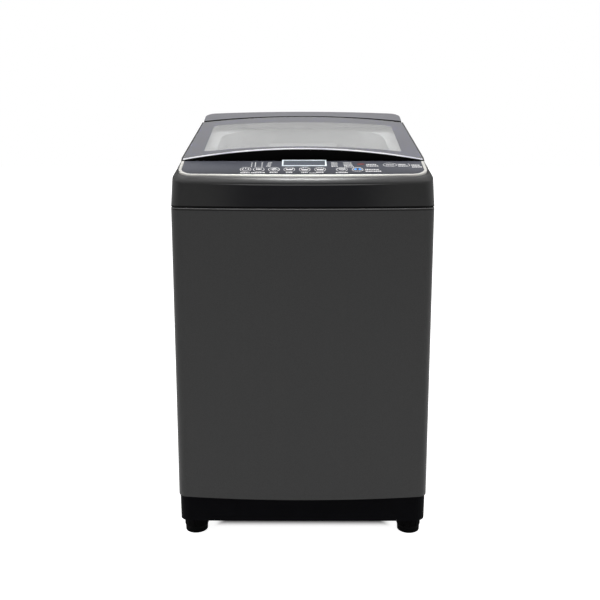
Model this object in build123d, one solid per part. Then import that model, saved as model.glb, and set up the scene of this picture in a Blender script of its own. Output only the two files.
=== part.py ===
from build123d import *
import math
import os

# Top load washing machine, in millimetres.
# X points to the viewer's right, Y to the back, Z up; the origin is on the floor, under the middle.

# Overall size
cabinet_width = 597.0
cabinet_depth = 625.0
front_bow = 20.0
inlet_reach = 15.0
overall_depth = front_bow + cabinet_depth + inlet_reach
half_width = cabinet_width / 2
front_y = front_bow - overall_depth / 2
rear_y = front_y + cabinet_depth
tub_y = (front_y + rear_y) / 2

# Heights of the outer levels
base_bottom_z = 47.5
cabinet_bottom_z = 115.0
cabinet_top_z = 811.0
seam_gap = 2.0
seam_z = cabinet_top_z + seam_gap
cover_height = 69.0
deck_front_z = cabinet_top_z + cover_height
deck_slope = 9.8
panel_slope = 15.9
panel_lift = 1.6
shoulder_drop = 14.7
shoulder_turns = (15, 30, 45, 60, 75)

# Cabinet sheet
sheet = 0.8
flange_width = 14.0
return_width = 22.0
cabinet_corner_r = 24.0
bend_r = 2.0

# Top cover: how far each level stands in from the cabinet's outline
cover_wall = 3.0
crease_side_inset = 2.5
crease_front_inset = 6.0
crease_bow = 18.0
crease_corner_r = 30.0
deck_side_inset = 12.0
deck_front_inset = 6.0
deck_bow = 6.0
deck_corner_r = 42.0
cover_rear_r = 5.0
deck_half_width = half_width - deck_side_inset

# Control panel
panel_depth = 96.0
panel_rear_y = front_y + panel_depth
trim_inset = 4.2
trim_width = 6.2
trim_proud = 0.4
panel_inset = trim_inset + trim_width
panel_thickness = 2.0
button_r = 11.0
button_gap = 0.4
button_proud = 0.6
button_thickness = 3.0
button_travel = 1.0
stem_r = 4.0
stem_gap = 0.3
stem_end = -14.0
button_setback = 42.0
button_y = front_y + button_setback
button_xs = {
    "button_power": -130.0,
    "button_program": -100.0,
    "button_level": -65.5,
    "button_soak": -30.5,
    "button_wash": 4.5,
    "button_rinse": 39.5,
    "button_spin": 89.0,
    "button_start": 125.0,
}
board_top = -20.4
board_thickness = 1.6
board_half_width = 165.0
board_y = (front_y + 11.0, front_y + 81.0)
readout_x = (-44.0, 51.0)
readout_y = (front_y + 48.0, front_y + 78.0)
relay_x = (-120.0, -70.0)
relay_y = (front_y + 48.0, front_y + 70.0)
supply_x = (70.0, 110.0)
supply_y = (front_y + 40.0, front_y + 70.0)
post_x = 150.0
post_ys = (front_y + 18.0, front_y + 74.0)
post_r = 3.5
display_x = (-48.0, 55.0)
display_y = (front_y + 62.5, panel_rear_y - 0.8)
display_front_rise = 0.8
display_rear_rise = 3.2
display_border = 3.5

# Lid
lid_front_gap = 6.0
lid_front_y = panel_rear_y + lid_front_gap
lid_side_inset = 0.5
lid_half_width = deck_half_width - lid_side_inset
lid_rise = 15.6
lid_thickness = 12.0
glass_thickness = 4.0
glass_side_inset = 1.2
glass_front_inset = 0.4
frame_front_inset = -0.5
crown_front = 26.0
crown_rear = 16.0
lid_trim_depth = 4.0
lid_trim_height = 4.4
lid_trim_end = 6.0
lid_corner_r = 10.0
hinge_setback = 85.0
hinge_y = rear_y - hinge_setback
hinge_drop = 12.0
window_side = 36.0
window_half_width = lid_half_width - window_side
window_y = (lid_front_y + 20.0, hinge_y - 52.0)
window_r = 24.0
skirt_setback = 12.0
skirt_thickness = 3.0
skirt_y = (lid_front_y + skirt_setback, lid_front_y + skirt_setback + skirt_thickness)
skirt_gap = 1.2
roll_thickness = 8.0
roll_gap = 2.0
trough_wall = 3.0
ear_inset = 34.0
ear_x = lid_half_width - ear_inset
ear_width = 10.0
ear_r = 7.0
ear_notch_width = 14.0
pin_r = 3.5
pin_gap = 0.08
pin_boss_r = 8.5
pin_boss_length = 15.0
rear_cover_gap = 4.0
rear_cover_inset = 4.5
rear_cover_step = 4.0
rear_cover_front_crown = 10.0
rear_cover_rise = 24.1
rear_cover_crown = 6.0
rear_cover_r = 28.0

# Loading opening
opening_side = 69.0
opening_half_width = lid_half_width - opening_side
opening_y = (lid_front_y + 20.0, hinge_y - 42.0)
opening_r = 110.0
throat_wall = 2.5
throat_lift = 15.0
throat_bottom_z = cabinet_top_z + throat_lift
throat_flange = 18.0

# Detergent drawer and its sleeve
drawer_half_width = 93.5
drawer_z = (deck_front_z + 6.5, deck_front_z + 48.0)
drawer_wall = 2.5
drawer_rear_y = rear_y - 33.0
drawer_gap = 1.0
drawer_lift = 0.5
sleeve_wall = 3.5
sleeve_floor_z = drawer_z[0] - drawer_lift
sleeve_top_z = drawer_z[1] + 6.0
sleeve_rear_y = rear_y - 15.0

# Water valve
inlet_xs = (135.0, 180.0)
inlet_z = deck_front_z + 15.0
inlet_r = 13.2
inlet_bore_r = 9.0
inlet_collar_r = 13.7
valve_x = (112.0, 205.0)
valve_half_height = 27.0
valve_front_y = rear_y - 47.0
spigot_y = rear_y - 27.0
spigot_r = 8.0

# Tub and basket
tub_side_gap = 26.5
tub_r = half_width - tub_side_gap
tub_wall = 4.0
tub_bottom_z = 236.0
tub_floor = 6.0
tub_top_drop = 17.0
tub_top_z = cabinet_top_z - tub_top_drop
ring_mouth = 58.0
ring_mouth_r = tub_r - ring_mouth
basket_gap = 22.0
basket_r = tub_r - basket_gap
basket_sheet = 0.8
floor_lift = 26.0
floor_z = tub_bottom_z + floor_lift
balance_z = (tub_top_z - 58.0, tub_top_z - 10.0)
basket_z = (floor_z + 4.0, balance_z[0] + 14.0)
balance_lip = 6.0
balance_outer_r = basket_r + balance_lip
balance_width = 44.0
balance_inner_r = balance_outer_r - balance_width
pulsator_gap = 55.0
pulsator_r = basket_r - pulsator_gap
pulsator_lift = 16.0
pulsator_z = floor_z + pulsator_lift

# Drive
shaft_r = 8.0
running_gap = 0.08
spin_tube_r = 17.0
bearing_r = 23.5
bearing_height = 14.0
bearing_zs = (122.0, tub_bottom_z - 24.0)
seal_r = 26.0
seal_top_z = tub_bottom_z + 14.0
plate_thickness = 3.0
plate_inset = 72.0
plate_half_width = tub_r - plate_inset
plate_y = (tub_y - 160.0, tub_y + 236.0)
plate_r = 30.0
plate_skirt = 16.0
plate_bolt_edge = 30.0
plate_bolt_y = 120.0
bolt_r = 4.0
bolt_head_r = 8.0
pulley_r = 92.0
motor_pulley_r = 24.0
pulley_z = (82.0, 102.0)
groove_depth = 10.0
groove_height = 10.0
belt_height = 9.0
belt_depth = 7.7
belt_sink = 1.0
motor_offset = 165.0
motor_r = 65.0
motor_z = (116.0, 220.0)
motor_shaft_r = 7.0

# Suspension
rod_inset = 58.5
rod_x = half_width - rod_inset
rod_setback = 67.5
rod_y = cabinet_depth / 2 - rod_setback
rod_r = 4.0
gusset_drop = 25.0
gusset_z = cabinet_top_z - gusset_drop
gusset_thickness = 3.0
lug_lift = 104.0
lug_thickness = 12.0
lug_z = (tub_bottom_z + lug_lift, tub_bottom_z + lug_lift + lug_thickness)
cup_r = 22.0
cup_wall = 3.0
cup_height = 75.0
cap_drop = 59.0
cap_thickness = 6.0
cap_z = (lug_z[0] - cap_drop - cap_thickness, lug_z[0] - cap_drop)
cap_r = 17.5
spring_r = 13.0
spring_wire_r = 2.0
spring_turns = 6

# Drain
drain_inset = 142.0
drain_x = drain_inset - tub_r
drain_y = -105.0
drain_spigot_r = 24.0
drain_spigot_length = 28.0
hose_z = 180.0
outlet_inset = 73.5
outlet_x = outlet_inset - half_width
hose_r = 17.0
hose_bore_r = 15.2
outlet_r = 15.0
outlet_bore_r = 12.0
hose_bend_r = 32.0

# Feet and base
foot_inset = 35.5
foot_x = half_width - foot_inset
foot_front_y = front_y + 60.0
foot_rear_y = rear_y - 55.0
foot_r = 29.0
foot_tip_r = 22.0
foot_stem_r = 6.0
foot_stem_gap = 0.3
base_top_inset = 1.2
base_bottom_inset = 1.8
base_wall = 4.0
base_bow = 2.0
base_setback = 6.0
base_corner_r = 26.0
base_rear_r = 8.0
base_hole_side = 62.5
base_hole_half_width = half_width - base_hole_side
base_hole_front = 62.0
base_hole_rear = 58.0
base_hole_r = 40.0
base_lip = 3.0
foot_boss_r = 24.0
foot_grip_count = 12
foot_grip_r = 3.0

# Screws
corner_screw_y = front_y + 29.0
corner_screw_z = deck_front_z - 4.0
corner_screw_r = 3.5
corner_screw_x = (half_width - 26.5, half_width - 7.0)
rear_screw_edge = 10.5
rear_screw_x = half_width - rear_screw_edge
rear_screw_rows = 4
rear_screw_z = (cabinet_bottom_z + 65.0, cabinet_top_z - 41.0)
rear_screw_r = 2.0
rear_screw_head_r = 4.5
screw_gap = 0.1

# Rear panel's beads and air slots
rear_panel_edge = 4.5
rear_panel_half_width = half_width - rear_panel_edge
bead_margin = 64.0
bead_half_width = rear_panel_half_width - bead_margin
bead_half_height = 12.0
bead_rise = 2.5
bead_zs = (330.0, 480.0, 630.0)
slot_count = 7
slot_pitch = 20.0
slot_half_width = 4.0
slot_z = (cabinet_top_z - 91.0, cabinet_top_z - 41.0)

# Mains cord bushing
gland_inset = 98.5
gland_x = half_width - gland_inset
gland_z = 250.0
gland_r = 9.0
gland_bore_r = 4.2

# Lid switch and level sensor
switch_x = (half_width - 70.5, half_width - 36.5)
switch_y = (hinge_y - 110.0, hinge_y - 70.0)
switch_height = 18.0
sensor_x = -190.0
sensor_r = 26.0

# Length that reaches past the whole machine
far = 3000.0


def tilted(y, z, slope):
    """Plane through (0, y, z) that climbs to the back at a slope in degrees."""
    turn = math.radians(slope)
    return Plane(origin=(0, y, z), x_dir=(1, 0, 0), z_dir=(0, -math.sin(turn), math.cos(turn)))


def level(z):
    """Horizontal plane at a height."""
    return Plane(origin=(0, 0, z), x_dir=(1, 0, 0), z_dir=(0, 0, 1))


def upright(y):
    """Plane across the machine at a depth, with Z up."""
    return Plane(origin=(0, y, 0), x_dir=(1, 0, 0), z_dir=(0, -1, 0))


def deck_plane(drop=0.0):
    return tilted(front_y, deck_front_z - drop, deck_slope)


def panel_plane(lift=0.0):
    return tilted(front_y, deck_front_z + panel_lift, panel_slope).offset(lift)


def deck_z(y):
    return deck_front_z + (y - front_y) * math.tan(math.radians(deck_slope))


def lid_edge_z(y):
    return deck_z(y) + lid_rise


hinge_z = lid_edge_z(hinge_y) - hinge_drop


def under(plane):
    """Everything below a plane."""
    return plane * (Pos(0, 0, -far / 2) * Box(far, far, far))


def above(plane):
    """Everything above a plane."""
    return plane * (Pos(0, 0, far / 2) * Box(far, far, far))


def block(x0, x1, y0, y1, z0, z1):
    """Box between two corners."""
    return Pos((x0 + x1) / 2, (y0 + y1) / 2, (z0 + z1) / 2) * Box(x1 - x0, y1 - y0, z1 - z0)


def rod(x, y, z0, z1, radius):
    """Upright cylinder."""
    return Pos(x, y, (z0 + z1) / 2) * Cylinder(radius, z1 - z0)


def rod_along_x(x0, x1, y, z, radius):
    return Pos((x0 + x1) / 2, y, z) * Rot(0, 90, 0) * Cylinder(radius, x1 - x0)


def rod_along_y(x, y0, y1, z, radius):
    return Pos(x, (y0 + y1) / 2, z) * Rot(90, 0, 0) * Cylinder(radius, y1 - y0)


def turned(points, x=0.0, y=0.0):
    """Solid of revolution about an upright axis from (radius, height) points."""
    profile = make_face(Polyline(*points, close=True))
    solid = revolve(Plane.XZ * profile, Axis.Z)
    return Pos(x, y, 0) * solid


def outline(plane, half, y_front, y_rear, bow, front_r, rear_r):
    """Plan outline with a bowed front and rounded corners, laid on a plane."""
    stretch = 1 / plane.y_dir.Y
    near = (y_front - plane.origin.Y) * stretch
    back = (y_rear - plane.origin.Y) * stretch
    front = ThreePointArc((-half, near), (0, near - bow * stretch), (half, near))
    rest = Polyline((half, near), (half, back), (-half, back), (-half, near))
    face = make_face(front.edges() + rest.edges())
    face = fillet(face.vertices().sort_by(Axis.Y)[:2], front_r)
    face = fillet(face.vertices().sort_by(Axis.Y)[-2:], rear_r)
    return plane * face


def cabinet_outline(z, inset=0.0):
    corner = cabinet_corner_r - inset
    return outline(level(z), half_width - inset, front_y + inset, rear_y - inset, front_bow, corner, 3.0)


def crease_outline(inset=0.0):
    half = half_width - crease_side_inset - inset
    front = front_y + crease_front_inset + inset
    plane = deck_plane(shoulder_drop)
    return outline(plane, half, front, rear_y - inset, crease_bow, crease_corner_r - inset, cover_rear_r)


def deck_outline(drop=0.0, inset=0.0):
    return outline(
        deck_plane(drop), deck_half_width - inset, front_y + deck_front_inset + inset,
        rear_y - inset, deck_bow, deck_corner_r - inset, cover_rear_r)


def shoulder_outline(turn):
    """Level of the rounded shoulder, from 0 at the crease to 90 at the deck."""
    share = 1 - math.cos(math.radians(turn))
    drop = shoulder_drop * (1 - math.sin(math.radians(turn)))
    side = crease_side_inset + share * (deck_side_inset - crease_side_inset)
    front = crease_front_inset + share * (deck_front_inset - crease_front_inset)
    bow = crease_bow + share * (deck_bow - crease_bow)
    corner = crease_corner_r + share * (deck_corner_r - crease_corner_r)
    return outline(deck_plane(drop), half_width - side, front_y + front, rear_y, bow, corner, cover_rear_r)


def cover_envelope():
    """Solid form of the top cover, from the seam to the deck."""
    levels = [cabinet_outline(seam_z), crease_outline()]
    levels += [shoulder_outline(turn) for turn in shoulder_turns]
    levels.append(deck_outline())
    return loft(levels, ruled=True)


def cover_cavity():
    """Hollow inside the top cover."""
    low = cabinet_outline(seam_z - 5, cover_wall)
    return loft([low, crease_outline(cover_wall), deck_outline(cover_wall, cover_wall + 1)], ruled=True)


def lid_arc_points(y, crown, offset):
    side = lid_edge_z(y) + offset
    return (-lid_half_width, side), (0, side + crown), (lid_half_width, side)


def crown_face(y, crown, top, bottom):
    """Band across the lid between two crowned arcs, measured from the lid's top."""
    top_left, top_mid, top_right = lid_arc_points(y, crown, -top)
    low_left, low_mid, low_right = lid_arc_points(y, crown, -bottom)
    upper = ThreePointArc(top_left, top_mid, top_right)
    right = Line(top_right, low_right)
    lower = ThreePointArc(low_right, low_mid, low_left)
    left = Line(low_left, top_left)
    return upright(y) * make_face(upper.edges() + right.edges() + lower.edges() + left.edges())


def lid_layer(top, bottom):
    """Layer of the crowned lid between two depths below its top."""
    front = crown_face(lid_front_y, crown_front, top, bottom)
    back = crown_face(hinge_y, crown_rear, top, bottom)
    return loft([front, back], ruled=True)


def hinge_axis():
    return Axis((0, hinge_y, hinge_z), (-1, 0, 0))


def roll_face(grow, half):
    """Half section of the lid's rounded rear edge, from the hinge line out."""
    side = hinge_z + hinge_drop + grow
    arc = ThreePointArc((-half, side), (0, side + crown_rear), (half, side))
    rest = Polyline((half, side), (half, hinge_z), (-half, hinge_z), (-half, side))
    return upright(hinge_y) * make_face(arc.edges() + rest.edges())


def rounded_prism(half, y0, y1, radius, z0, z1):
    """Upright prism with rounded corners."""
    face = RectangleRounded(2 * half, y1 - y0, radius)
    return extrude(Pos(0, (y0 + y1) / 2, z0) * face, z1 - z0)


def opening_prism(grow, z0, z1):
    return rounded_prism(
        opening_half_width + grow, opening_y[0] - grow, opening_y[1] + grow, opening_r + grow, z0, z1)


def panel_local_y(y):
    """Distance along the panel from its origin for a plan depth."""
    return (y - front_y) / math.cos(math.radians(panel_slope))


def on_panel(shape):
    return panel_plane() * shape


def panel_prism(inset):
    """Region of the control panel, standing on the deck."""
    prism = extrude(deck_outline(cover_wall, inset), 40)
    return prism & block(-far, far, -far, panel_rear_y, 0, far)


def bent_top(solid, radius):
    """Rounds the upper rim, as a folded sheet is."""
    return fillet(solid.edges().group_by(Axis.Z)[-1], radius)


def make_cabinet_wrap():
    height = cabinet_top_z - cabinet_bottom_z
    wall = bent_top(extrude(cabinet_outline(cabinet_bottom_z), height), bend_r)
    inside = extrude(cabinet_outline(cabinet_bottom_z + sheet, sheet), height - 2 * sheet)
    wall -= bent_top(inside, bend_r - sheet)
    hole = cabinet_outline(cabinet_bottom_z - 1, flange_width)
    wall -= extrude(hole, height + 2)
    gap = half_width - return_width
    wall -= block(-gap, gap, rear_y - 40, rear_y + 5, cabinet_bottom_z - 1, cabinet_top_z + 1)
    for x, z in rear_screw_places():
        wall -= rod_along_y(x, rear_y - 10, rear_y + 5, z, rear_screw_r + screw_gap)
    return wall


def rear_screw_places():
    low, high = rear_screw_z
    pitch = (high - low) / (rear_screw_rows - 1)
    return [(side * rear_screw_x, low + pitch * row) for side in (-1, 1) for row in range(rear_screw_rows)]


def make_rear_panel():
    back = rear_y - sheet
    half = rear_panel_half_width
    plate = block(-half, half, back - sheet, back, cabinet_bottom_z + 2, cabinet_top_z - 2)
    for z in bead_zs:
        low = z - bead_half_height
        high = z + bead_half_height
        bead = block(-bead_half_width, bead_half_width, back - 0.5, back + bead_rise, low, high)
        plate += fillet(bead.edges().filter_by(Axis.Y), bead_half_height - 1)
    for step in range(slot_count):
        x = slot_pitch * (step - (slot_count - 1) / 2)
        slot = block(x - slot_half_width, x + slot_half_width, back - 5, back + 5, slot_z[0], slot_z[1])
        plate -= fillet(slot.edges().filter_by(Axis.Y), slot_half_width - 0.1)
    plate -= rod_along_y(gland_x, back - 9, back + 9, gland_z, gland_r + 0.05)
    plate -= rod_along_y(outlet_x, back - 9, back + 9, hose_z, outlet_r + 0.1)
    for x, z in rear_screw_places():
        plate -= rod_along_y(x, back - 9, back + 9, z, rear_screw_r + screw_gap)
    return plate


def rod_places():
    return [(sx * rod_x, tub_y + sy * rod_y) for sx in (-1, 1) for sy in (-1, 1)]


def make_corner_gusset(x, y):
    side = 1 if x > 0 else -1
    wall_x = half_width - sheet
    x0, x1 = sorted((side * (rod_x - 28), side * wall_x))
    plate = block(x0, x1, y - 36, y + 36, gusset_z, gusset_z + gusset_thickness)
    f0, f1 = sorted((side * (wall_x - gusset_thickness), side * wall_x))
    plate += block(f0, f1, y - 36, y + 36, gusset_z - 34, gusset_z + 1)
    plate -= rod(x, y, gusset_z - 1, gusset_z + 9, rod_r + 1.5)
    return plate


def make_corner_gussets():
    return Compound(children=[make_corner_gusset(x, y) for x, y in rod_places()])


def make_base_frame():
    top = cabinet_bottom_z

    def ring(z, inset):
        corner = base_corner_r - inset / 2
        front = front_y + inset + base_setback
        return outline(level(z), half_width - inset, front, rear_y - inset, base_bow, corner, base_rear_r)

    def hole(grow, z0, z1):
        near = front_y + base_hole_front - grow
        back = rear_y - base_hole_rear + grow
        return rounded_prism(base_hole_half_width + grow, near, back, base_hole_r + grow, z0, z1)

    body = loft([ring(base_bottom_z, base_bottom_inset), ring(top, base_top_inset)], ruled=True)
    inner_low = ring(base_bottom_z - 1, base_bottom_inset + base_wall)
    inner_high = ring(top - base_wall, base_top_inset + base_wall)
    body -= loft([inner_low, inner_high], ruled=True)
    body -= hole(0.0, top - 20, top + 1)
    body += hole(base_lip, top - 30, top - 1) - hole(0.0, top - 31, top)
    for x, y in foot_places().values():
        body += rod(x, y, base_bottom_z, top - 1, foot_boss_r)
    for x, y in foot_places().values():
        body -= rod(x, y, base_bottom_z - 1, top - 8, foot_stem_r + foot_stem_gap)
    return body


def foot_places():
    return {
        "foot_front_left": (-foot_x, foot_front_y),
        "foot_front_right": (foot_x, foot_front_y),
        "foot_rear_left": (-foot_x, foot_rear_y),
        "foot_rear_right": (foot_x, foot_rear_y),
    }


def make_foot(x, y):
    collar = base_bottom_z - 0.3
    points = [
        (0, 0), (foot_tip_r, 0), (foot_tip_r + 5, 1.5), (foot_r - 1.5, 13), (foot_r, 17), (foot_r, 34),
        (foot_r - 2, 36), (22, 36), (22, collar), (foot_stem_r, collar), (foot_stem_r, 100), (0, 100)]
    foot = turned(points, x, y)
    reach = foot_r + foot_grip_r / 2
    for step in range(foot_grip_count):
        angle = 2 * math.pi * step / foot_grip_count
        foot -= rod(x + reach * math.cos(angle), y + reach * math.sin(angle), 18, 37, foot_grip_r)
    return foot


def trough(grow, half):
    """Space swept by the lid's rounded rear edge, enlarged."""
    return revolve(roll_face(grow, half), hinge_axis(), 360)


def make_ear(x):
    ear = block(x - ear_width / 2, x + ear_width / 2, hinge_y - ear_r, hinge_y + ear_r, hinge_z - 22, hinge_z)
    ear += rod_along_x(x - ear_width / 2, x + ear_width / 2, hinge_y, hinge_z, ear_r)
    return ear


def make_top_cover():
    envelope = cover_envelope()
    cover = envelope - cover_cavity()
    cover += extrude(cabinet_outline(cabinet_top_z, 2.0), seam_gap + 1) - extrude(
        cabinet_outline(cabinet_top_z - 1, 6.0), seam_gap + 3)
    cover += panel_prism(panel_inset) & under(panel_plane(-panel_thickness))
    cover -= opening_prism(0.0, cabinet_top_z, far)
    shell = trough(roll_gap + trough_wall, lid_half_width + 4) & envelope
    cover += shell
    cover -= trough(roll_gap, lid_half_width + 4)
    for x in (-ear_x, ear_x):
        cover += make_ear(x)
    for x in (-ear_x, ear_x):
        cover -= rod_along_x(x - 9, x + 9, hinge_y, hinge_z, pin_r + pin_gap)
    for x in inlet_xs:
        cover -= rod_along_y(x, rear_y - 20, rear_y + 5, inlet_z, inlet_r + 0.8)
    for x in button_xs.values():
        y = panel_local_y(button_y)
        pocket = button_thickness - button_proud + button_travel + 0.4
        cover -= on_panel(rod(x, y, -pocket, 20, button_r + button_gap))
        cover -= on_panel(Pos(x, y, -20) * Cylinder(stem_r + stem_gap, 40))
    for x in (-post_x, post_x):
        for y in post_ys:
            post = rod(x, panel_local_y(y), board_top, board_top + 16, post_r)
            cover += on_panel(post) & under(panel_plane(-panel_thickness - 1))
    for side in (-1, 1):
        x0, x1 = sorted((side * (corner_screw_x[0] - 2), side * (half_width + 10)))
        cover -= rod_along_x(x0, x1, corner_screw_y, corner_screw_z, corner_screw_r + 0.05)
    return cover


def make_opening_frame():
    top = deck_plane(cover_wall)
    frame = opening_prism(throat_wall, throat_bottom_z, far)
    flange = opening_prism(throat_flange, cabinet_top_z, far) & above(deck_plane(cover_wall + throat_wall))
    flange &= block(-far, far, -far, switch_y[0], 0, far)
    frame += flange
    frame -= opening_prism(0.0, cabinet_top_z, far)
    frame &= under(top)
    mouth = drawer_half_width + drawer_gap
    rear = opening_y[1]
    return frame - block(-mouth, mouth, rear - 20, rear + 20, sleeve_floor_z, drawer_z[1] + drawer_gap)


def make_rear_top_cover():
    front_side_y = hinge_y + hinge_drop + rear_cover_gap

    def section(y, side, crown, inset):
        half = deck_half_width - rear_cover_inset - inset
        top = side - inset
        arc = ThreePointArc((-half, top), (0, top + crown), (half, top))
        rest = Polyline((half, top), (half, deck_front_z), (-half, deck_front_z), (-half, top))
        return upright(y) * make_face(arc.edges() + rest.edges())

    def plan(inset):
        front_side = front_side_y + inset
        front_mid = front_side + crown_rear
        half = deck_half_width - rear_cover_inset - inset
        back = rear_y - 2 - inset
        arc = ThreePointArc((-half, front_side), (0, front_mid), (half, front_side))
        rest = Polyline((half, front_side), (half, back), (-half, back), (-half, front_side))
        face = make_face(arc.edges() + rest.edges())
        face = fillet(face.vertices().sort_by(Axis.Y)[-2:], rear_cover_r - inset)
        return extrude(level(0) * face, far)

    def form(inset):
        front = section(front_side_y, lid_edge_z(hinge_y) + rear_cover_step, rear_cover_front_crown, inset)
        back = section(rear_y, lid_edge_z(hinge_y) + rear_cover_rise, rear_cover_crown, inset)
        return loft([front, back], ruled=True) & plan(inset)

    cover = form(0.0) & above(deck_plane())
    return cover - form(cover_wall)


def display_box(inset, low, drop):
    """Wedge of the raised display, in the panel's own frame."""
    y0 = panel_local_y(display_y[0]) + inset
    y1 = panel_local_y(display_y[1]) - inset
    length = panel_local_y(display_y[1]) - panel_local_y(display_y[0])
    slope = (display_rear_rise - display_front_rise) / length
    z0 = display_front_rise + inset * slope - drop
    z1 = display_rear_rise - inset * slope - drop
    profile = make_face(Polyline((y0, low), (y1, low), (y1, z1), (y0, z0), close=True))
    width = display_x[1] - display_x[0] - 2 * inset
    return on_panel(Pos(display_x[0] + inset, 0, 0) * extrude(Plane.YZ * profile, width))


def make_control_panel():
    panel = panel_prism(panel_inset + 0.1) & under(panel_plane()) & above(panel_plane(-panel_thickness))
    for x in button_xs.values():
        panel -= on_panel(Pos(x, panel_local_y(button_y), 0) * Cylinder(button_r + button_gap, 20))
    return panel - display_box(-0.1, -6, -2)


def make_panel_trim():
    ring = panel_prism(trim_inset) - panel_prism(panel_inset)
    return ring & above(deck_plane()) & under(panel_plane(trim_proud))


def make_display_bezel():
    frame = display_box(0.0, -panel_thickness, 0.0)
    return frame - display_box(display_border, -panel_thickness - 1, -5)


def make_display_window():
    return display_box(display_border + 0.1, -panel_thickness, 0.7)


def make_button(x):
    y = panel_local_y(button_y)
    low = button_proud - button_thickness
    cap = rod(x, y, low, button_proud, button_r)
    cap = fillet(cap.edges().sort_by(Axis.Z)[-1:], 0.5)
    stem = rod(x, y, stem_end, low + 0.5, stem_r)
    return on_panel(cap + stem)


def make_control_board():
    y0 = panel_local_y(board_y[0])
    y1 = panel_local_y(board_y[1])
    board = block(-board_half_width, board_half_width, y0, y1, board_top - board_thickness, board_top)
    for x in button_xs.values():
        y = panel_local_y(button_y)
        board += block(x - 4, x + 4, y - 4, y + 4, board_top, stem_end - button_travel - 0.3)
    near, back = [panel_local_y(y) for y in readout_y]
    board += block(readout_x[0], readout_x[1], near, back, board_top, board_top + 4)
    near, back = [panel_local_y(y) for y in relay_y]
    board += block(relay_x[0], relay_x[1], near, back, board_top - 12, board_top - 1)
    near, back = [panel_local_y(y) for y in supply_y]
    board += block(supply_x[0], supply_x[1], near, back, board_top - 18, board_top - 1)
    return on_panel(board)


def make_lid_frame():
    frame = lid_layer(glass_thickness, lid_thickness)
    frame -= rounded_prism(window_half_width, window_y[0], window_y[1], window_r, cabinet_top_z, far)
    band = roll_face(0.0, lid_half_width) - roll_face(-roll_thickness, lid_half_width)
    frame += revolve(band, hinge_axis(), 90)
    skirt = lid_layer(lid_thickness - 1, lid_thickness + 60)
    skirt &= block(-far, far, skirt_y[0], skirt_y[1], 0, far)
    frame += skirt & above(deck_plane(-skirt_gap))
    for side in (-1, 1):
        for start in (ear_x - ear_notch_width / 2 - pin_boss_length, ear_x + ear_notch_width / 2):
            x0, x1 = sorted((side * start, side * (start + pin_boss_length)))
            frame += rod_along_x(x0, x1, hinge_y, hinge_z, pin_boss_r)
    for side in (-1, 1):
        x0, x1 = sorted((side * (ear_x - ear_notch_width / 2), side * (ear_x + ear_notch_width / 2)))
        frame -= rod_along_x(x0, x1, hinge_y, hinge_z, ear_r + 3)
        frame -= block(x0, x1, hinge_y, hinge_y + 60, hinge_z - 40, hinge_z + 60)
        p0, p1 = sorted((side * (ear_x - 40), side * (ear_x + 40)))
        frame -= rod_along_x(p0, p1, hinge_y, hinge_z, pin_r + 0.02)
    return frame & lid_plan(0.0, frame_front_inset)


def lid_plan(inset, front_inset):
    """Plan of the lid, with rounded front corners."""
    half = lid_half_width - inset
    front = lid_front_y + front_inset
    back = hinge_y + 60
    face = make_face(Polyline((-half, front), (half, front), (half, back), (-half, back), close=True))
    face = fillet(face.vertices().sort_by(Axis.Y)[:2], lid_corner_r)
    return extrude(level(0) * face, far)


def make_lid_glass():
    glass = lid_layer(0.0, glass_thickness) & lid_plan(glass_side_inset, glass_front_inset)
    return glass & block(-far, far, -far, hinge_y - 0.2, 0, far)


def make_lid_trim():
    face = crown_face(lid_front_y, crown_front, 0.0, lid_trim_height)
    strip = extrude(face, lid_trim_depth)
    reach = lid_half_width - lid_trim_end
    return strip & block(-reach, reach, -far, far, 0, far)


def make_hinge_pins():
    pins = []
    for side in (-1, 1):
        x0, x1 = sorted((side * (ear_x - 21), side * (ear_x + 21)))
        pins.append(rod_along_x(x0, x1, hinge_y, hinge_z, pin_r))
    return Compound(children=pins)


def make_detergent_drawer():
    front = opening_y[1]
    body = block(-drawer_half_width, drawer_half_width, front, drawer_rear_y, drawer_z[0], drawer_z[1])
    inner = drawer_half_width - drawer_wall
    back = drawer_rear_y - drawer_wall
    for x0, x1 in ((-inner, -drawer_wall / 2), (drawer_wall / 2, inner)):
        body -= block(x0, x1, front + 4, back, drawer_z[0] + drawer_wall, drawer_z[1] + 1)
    smile = ThreePointArc((-80, drawer_z[1] - 6), (0, drawer_z[1] - 20), (80, drawer_z[1] - 6))
    low = ThreePointArc((80, drawer_z[1] - 10), (0, drawer_z[1] - 25), (-80, drawer_z[1] - 10))
    ends = [Line(smile @ 1, low @ 0), Line(low @ 1, smile @ 0)]
    face = make_face(smile.edges() + ends[0].edges() + low.edges() + ends[1].edges())
    return body + extrude(upright(front + 1) * face, 8)


def make_dispenser_housing():
    inner = drawer_half_width + drawer_gap
    outer = inner + sleeve_wall
    front = opening_y[1] + throat_wall
    box = block(-outer, outer, front, sleeve_rear_y, sleeve_floor_z - sleeve_wall, sleeve_top_z)
    back = sleeve_rear_y - sleeve_wall
    box -= block(-inner, inner, front - 1, back, sleeve_floor_z, drawer_z[1] + drawer_gap)
    box -= block(-60, 60, front + 12, front + 40, sleeve_floor_z - 10, sleeve_floor_z + 1)
    box += rod_along_x(outer - 1, valve_x[0] - 0.3, spigot_y, inlet_z, spigot_r + 4)
    box -= rod_along_x(outer - 10, valve_x[0] + 1, spigot_y, inlet_z, spigot_r + 0.2)
    return box


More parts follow.
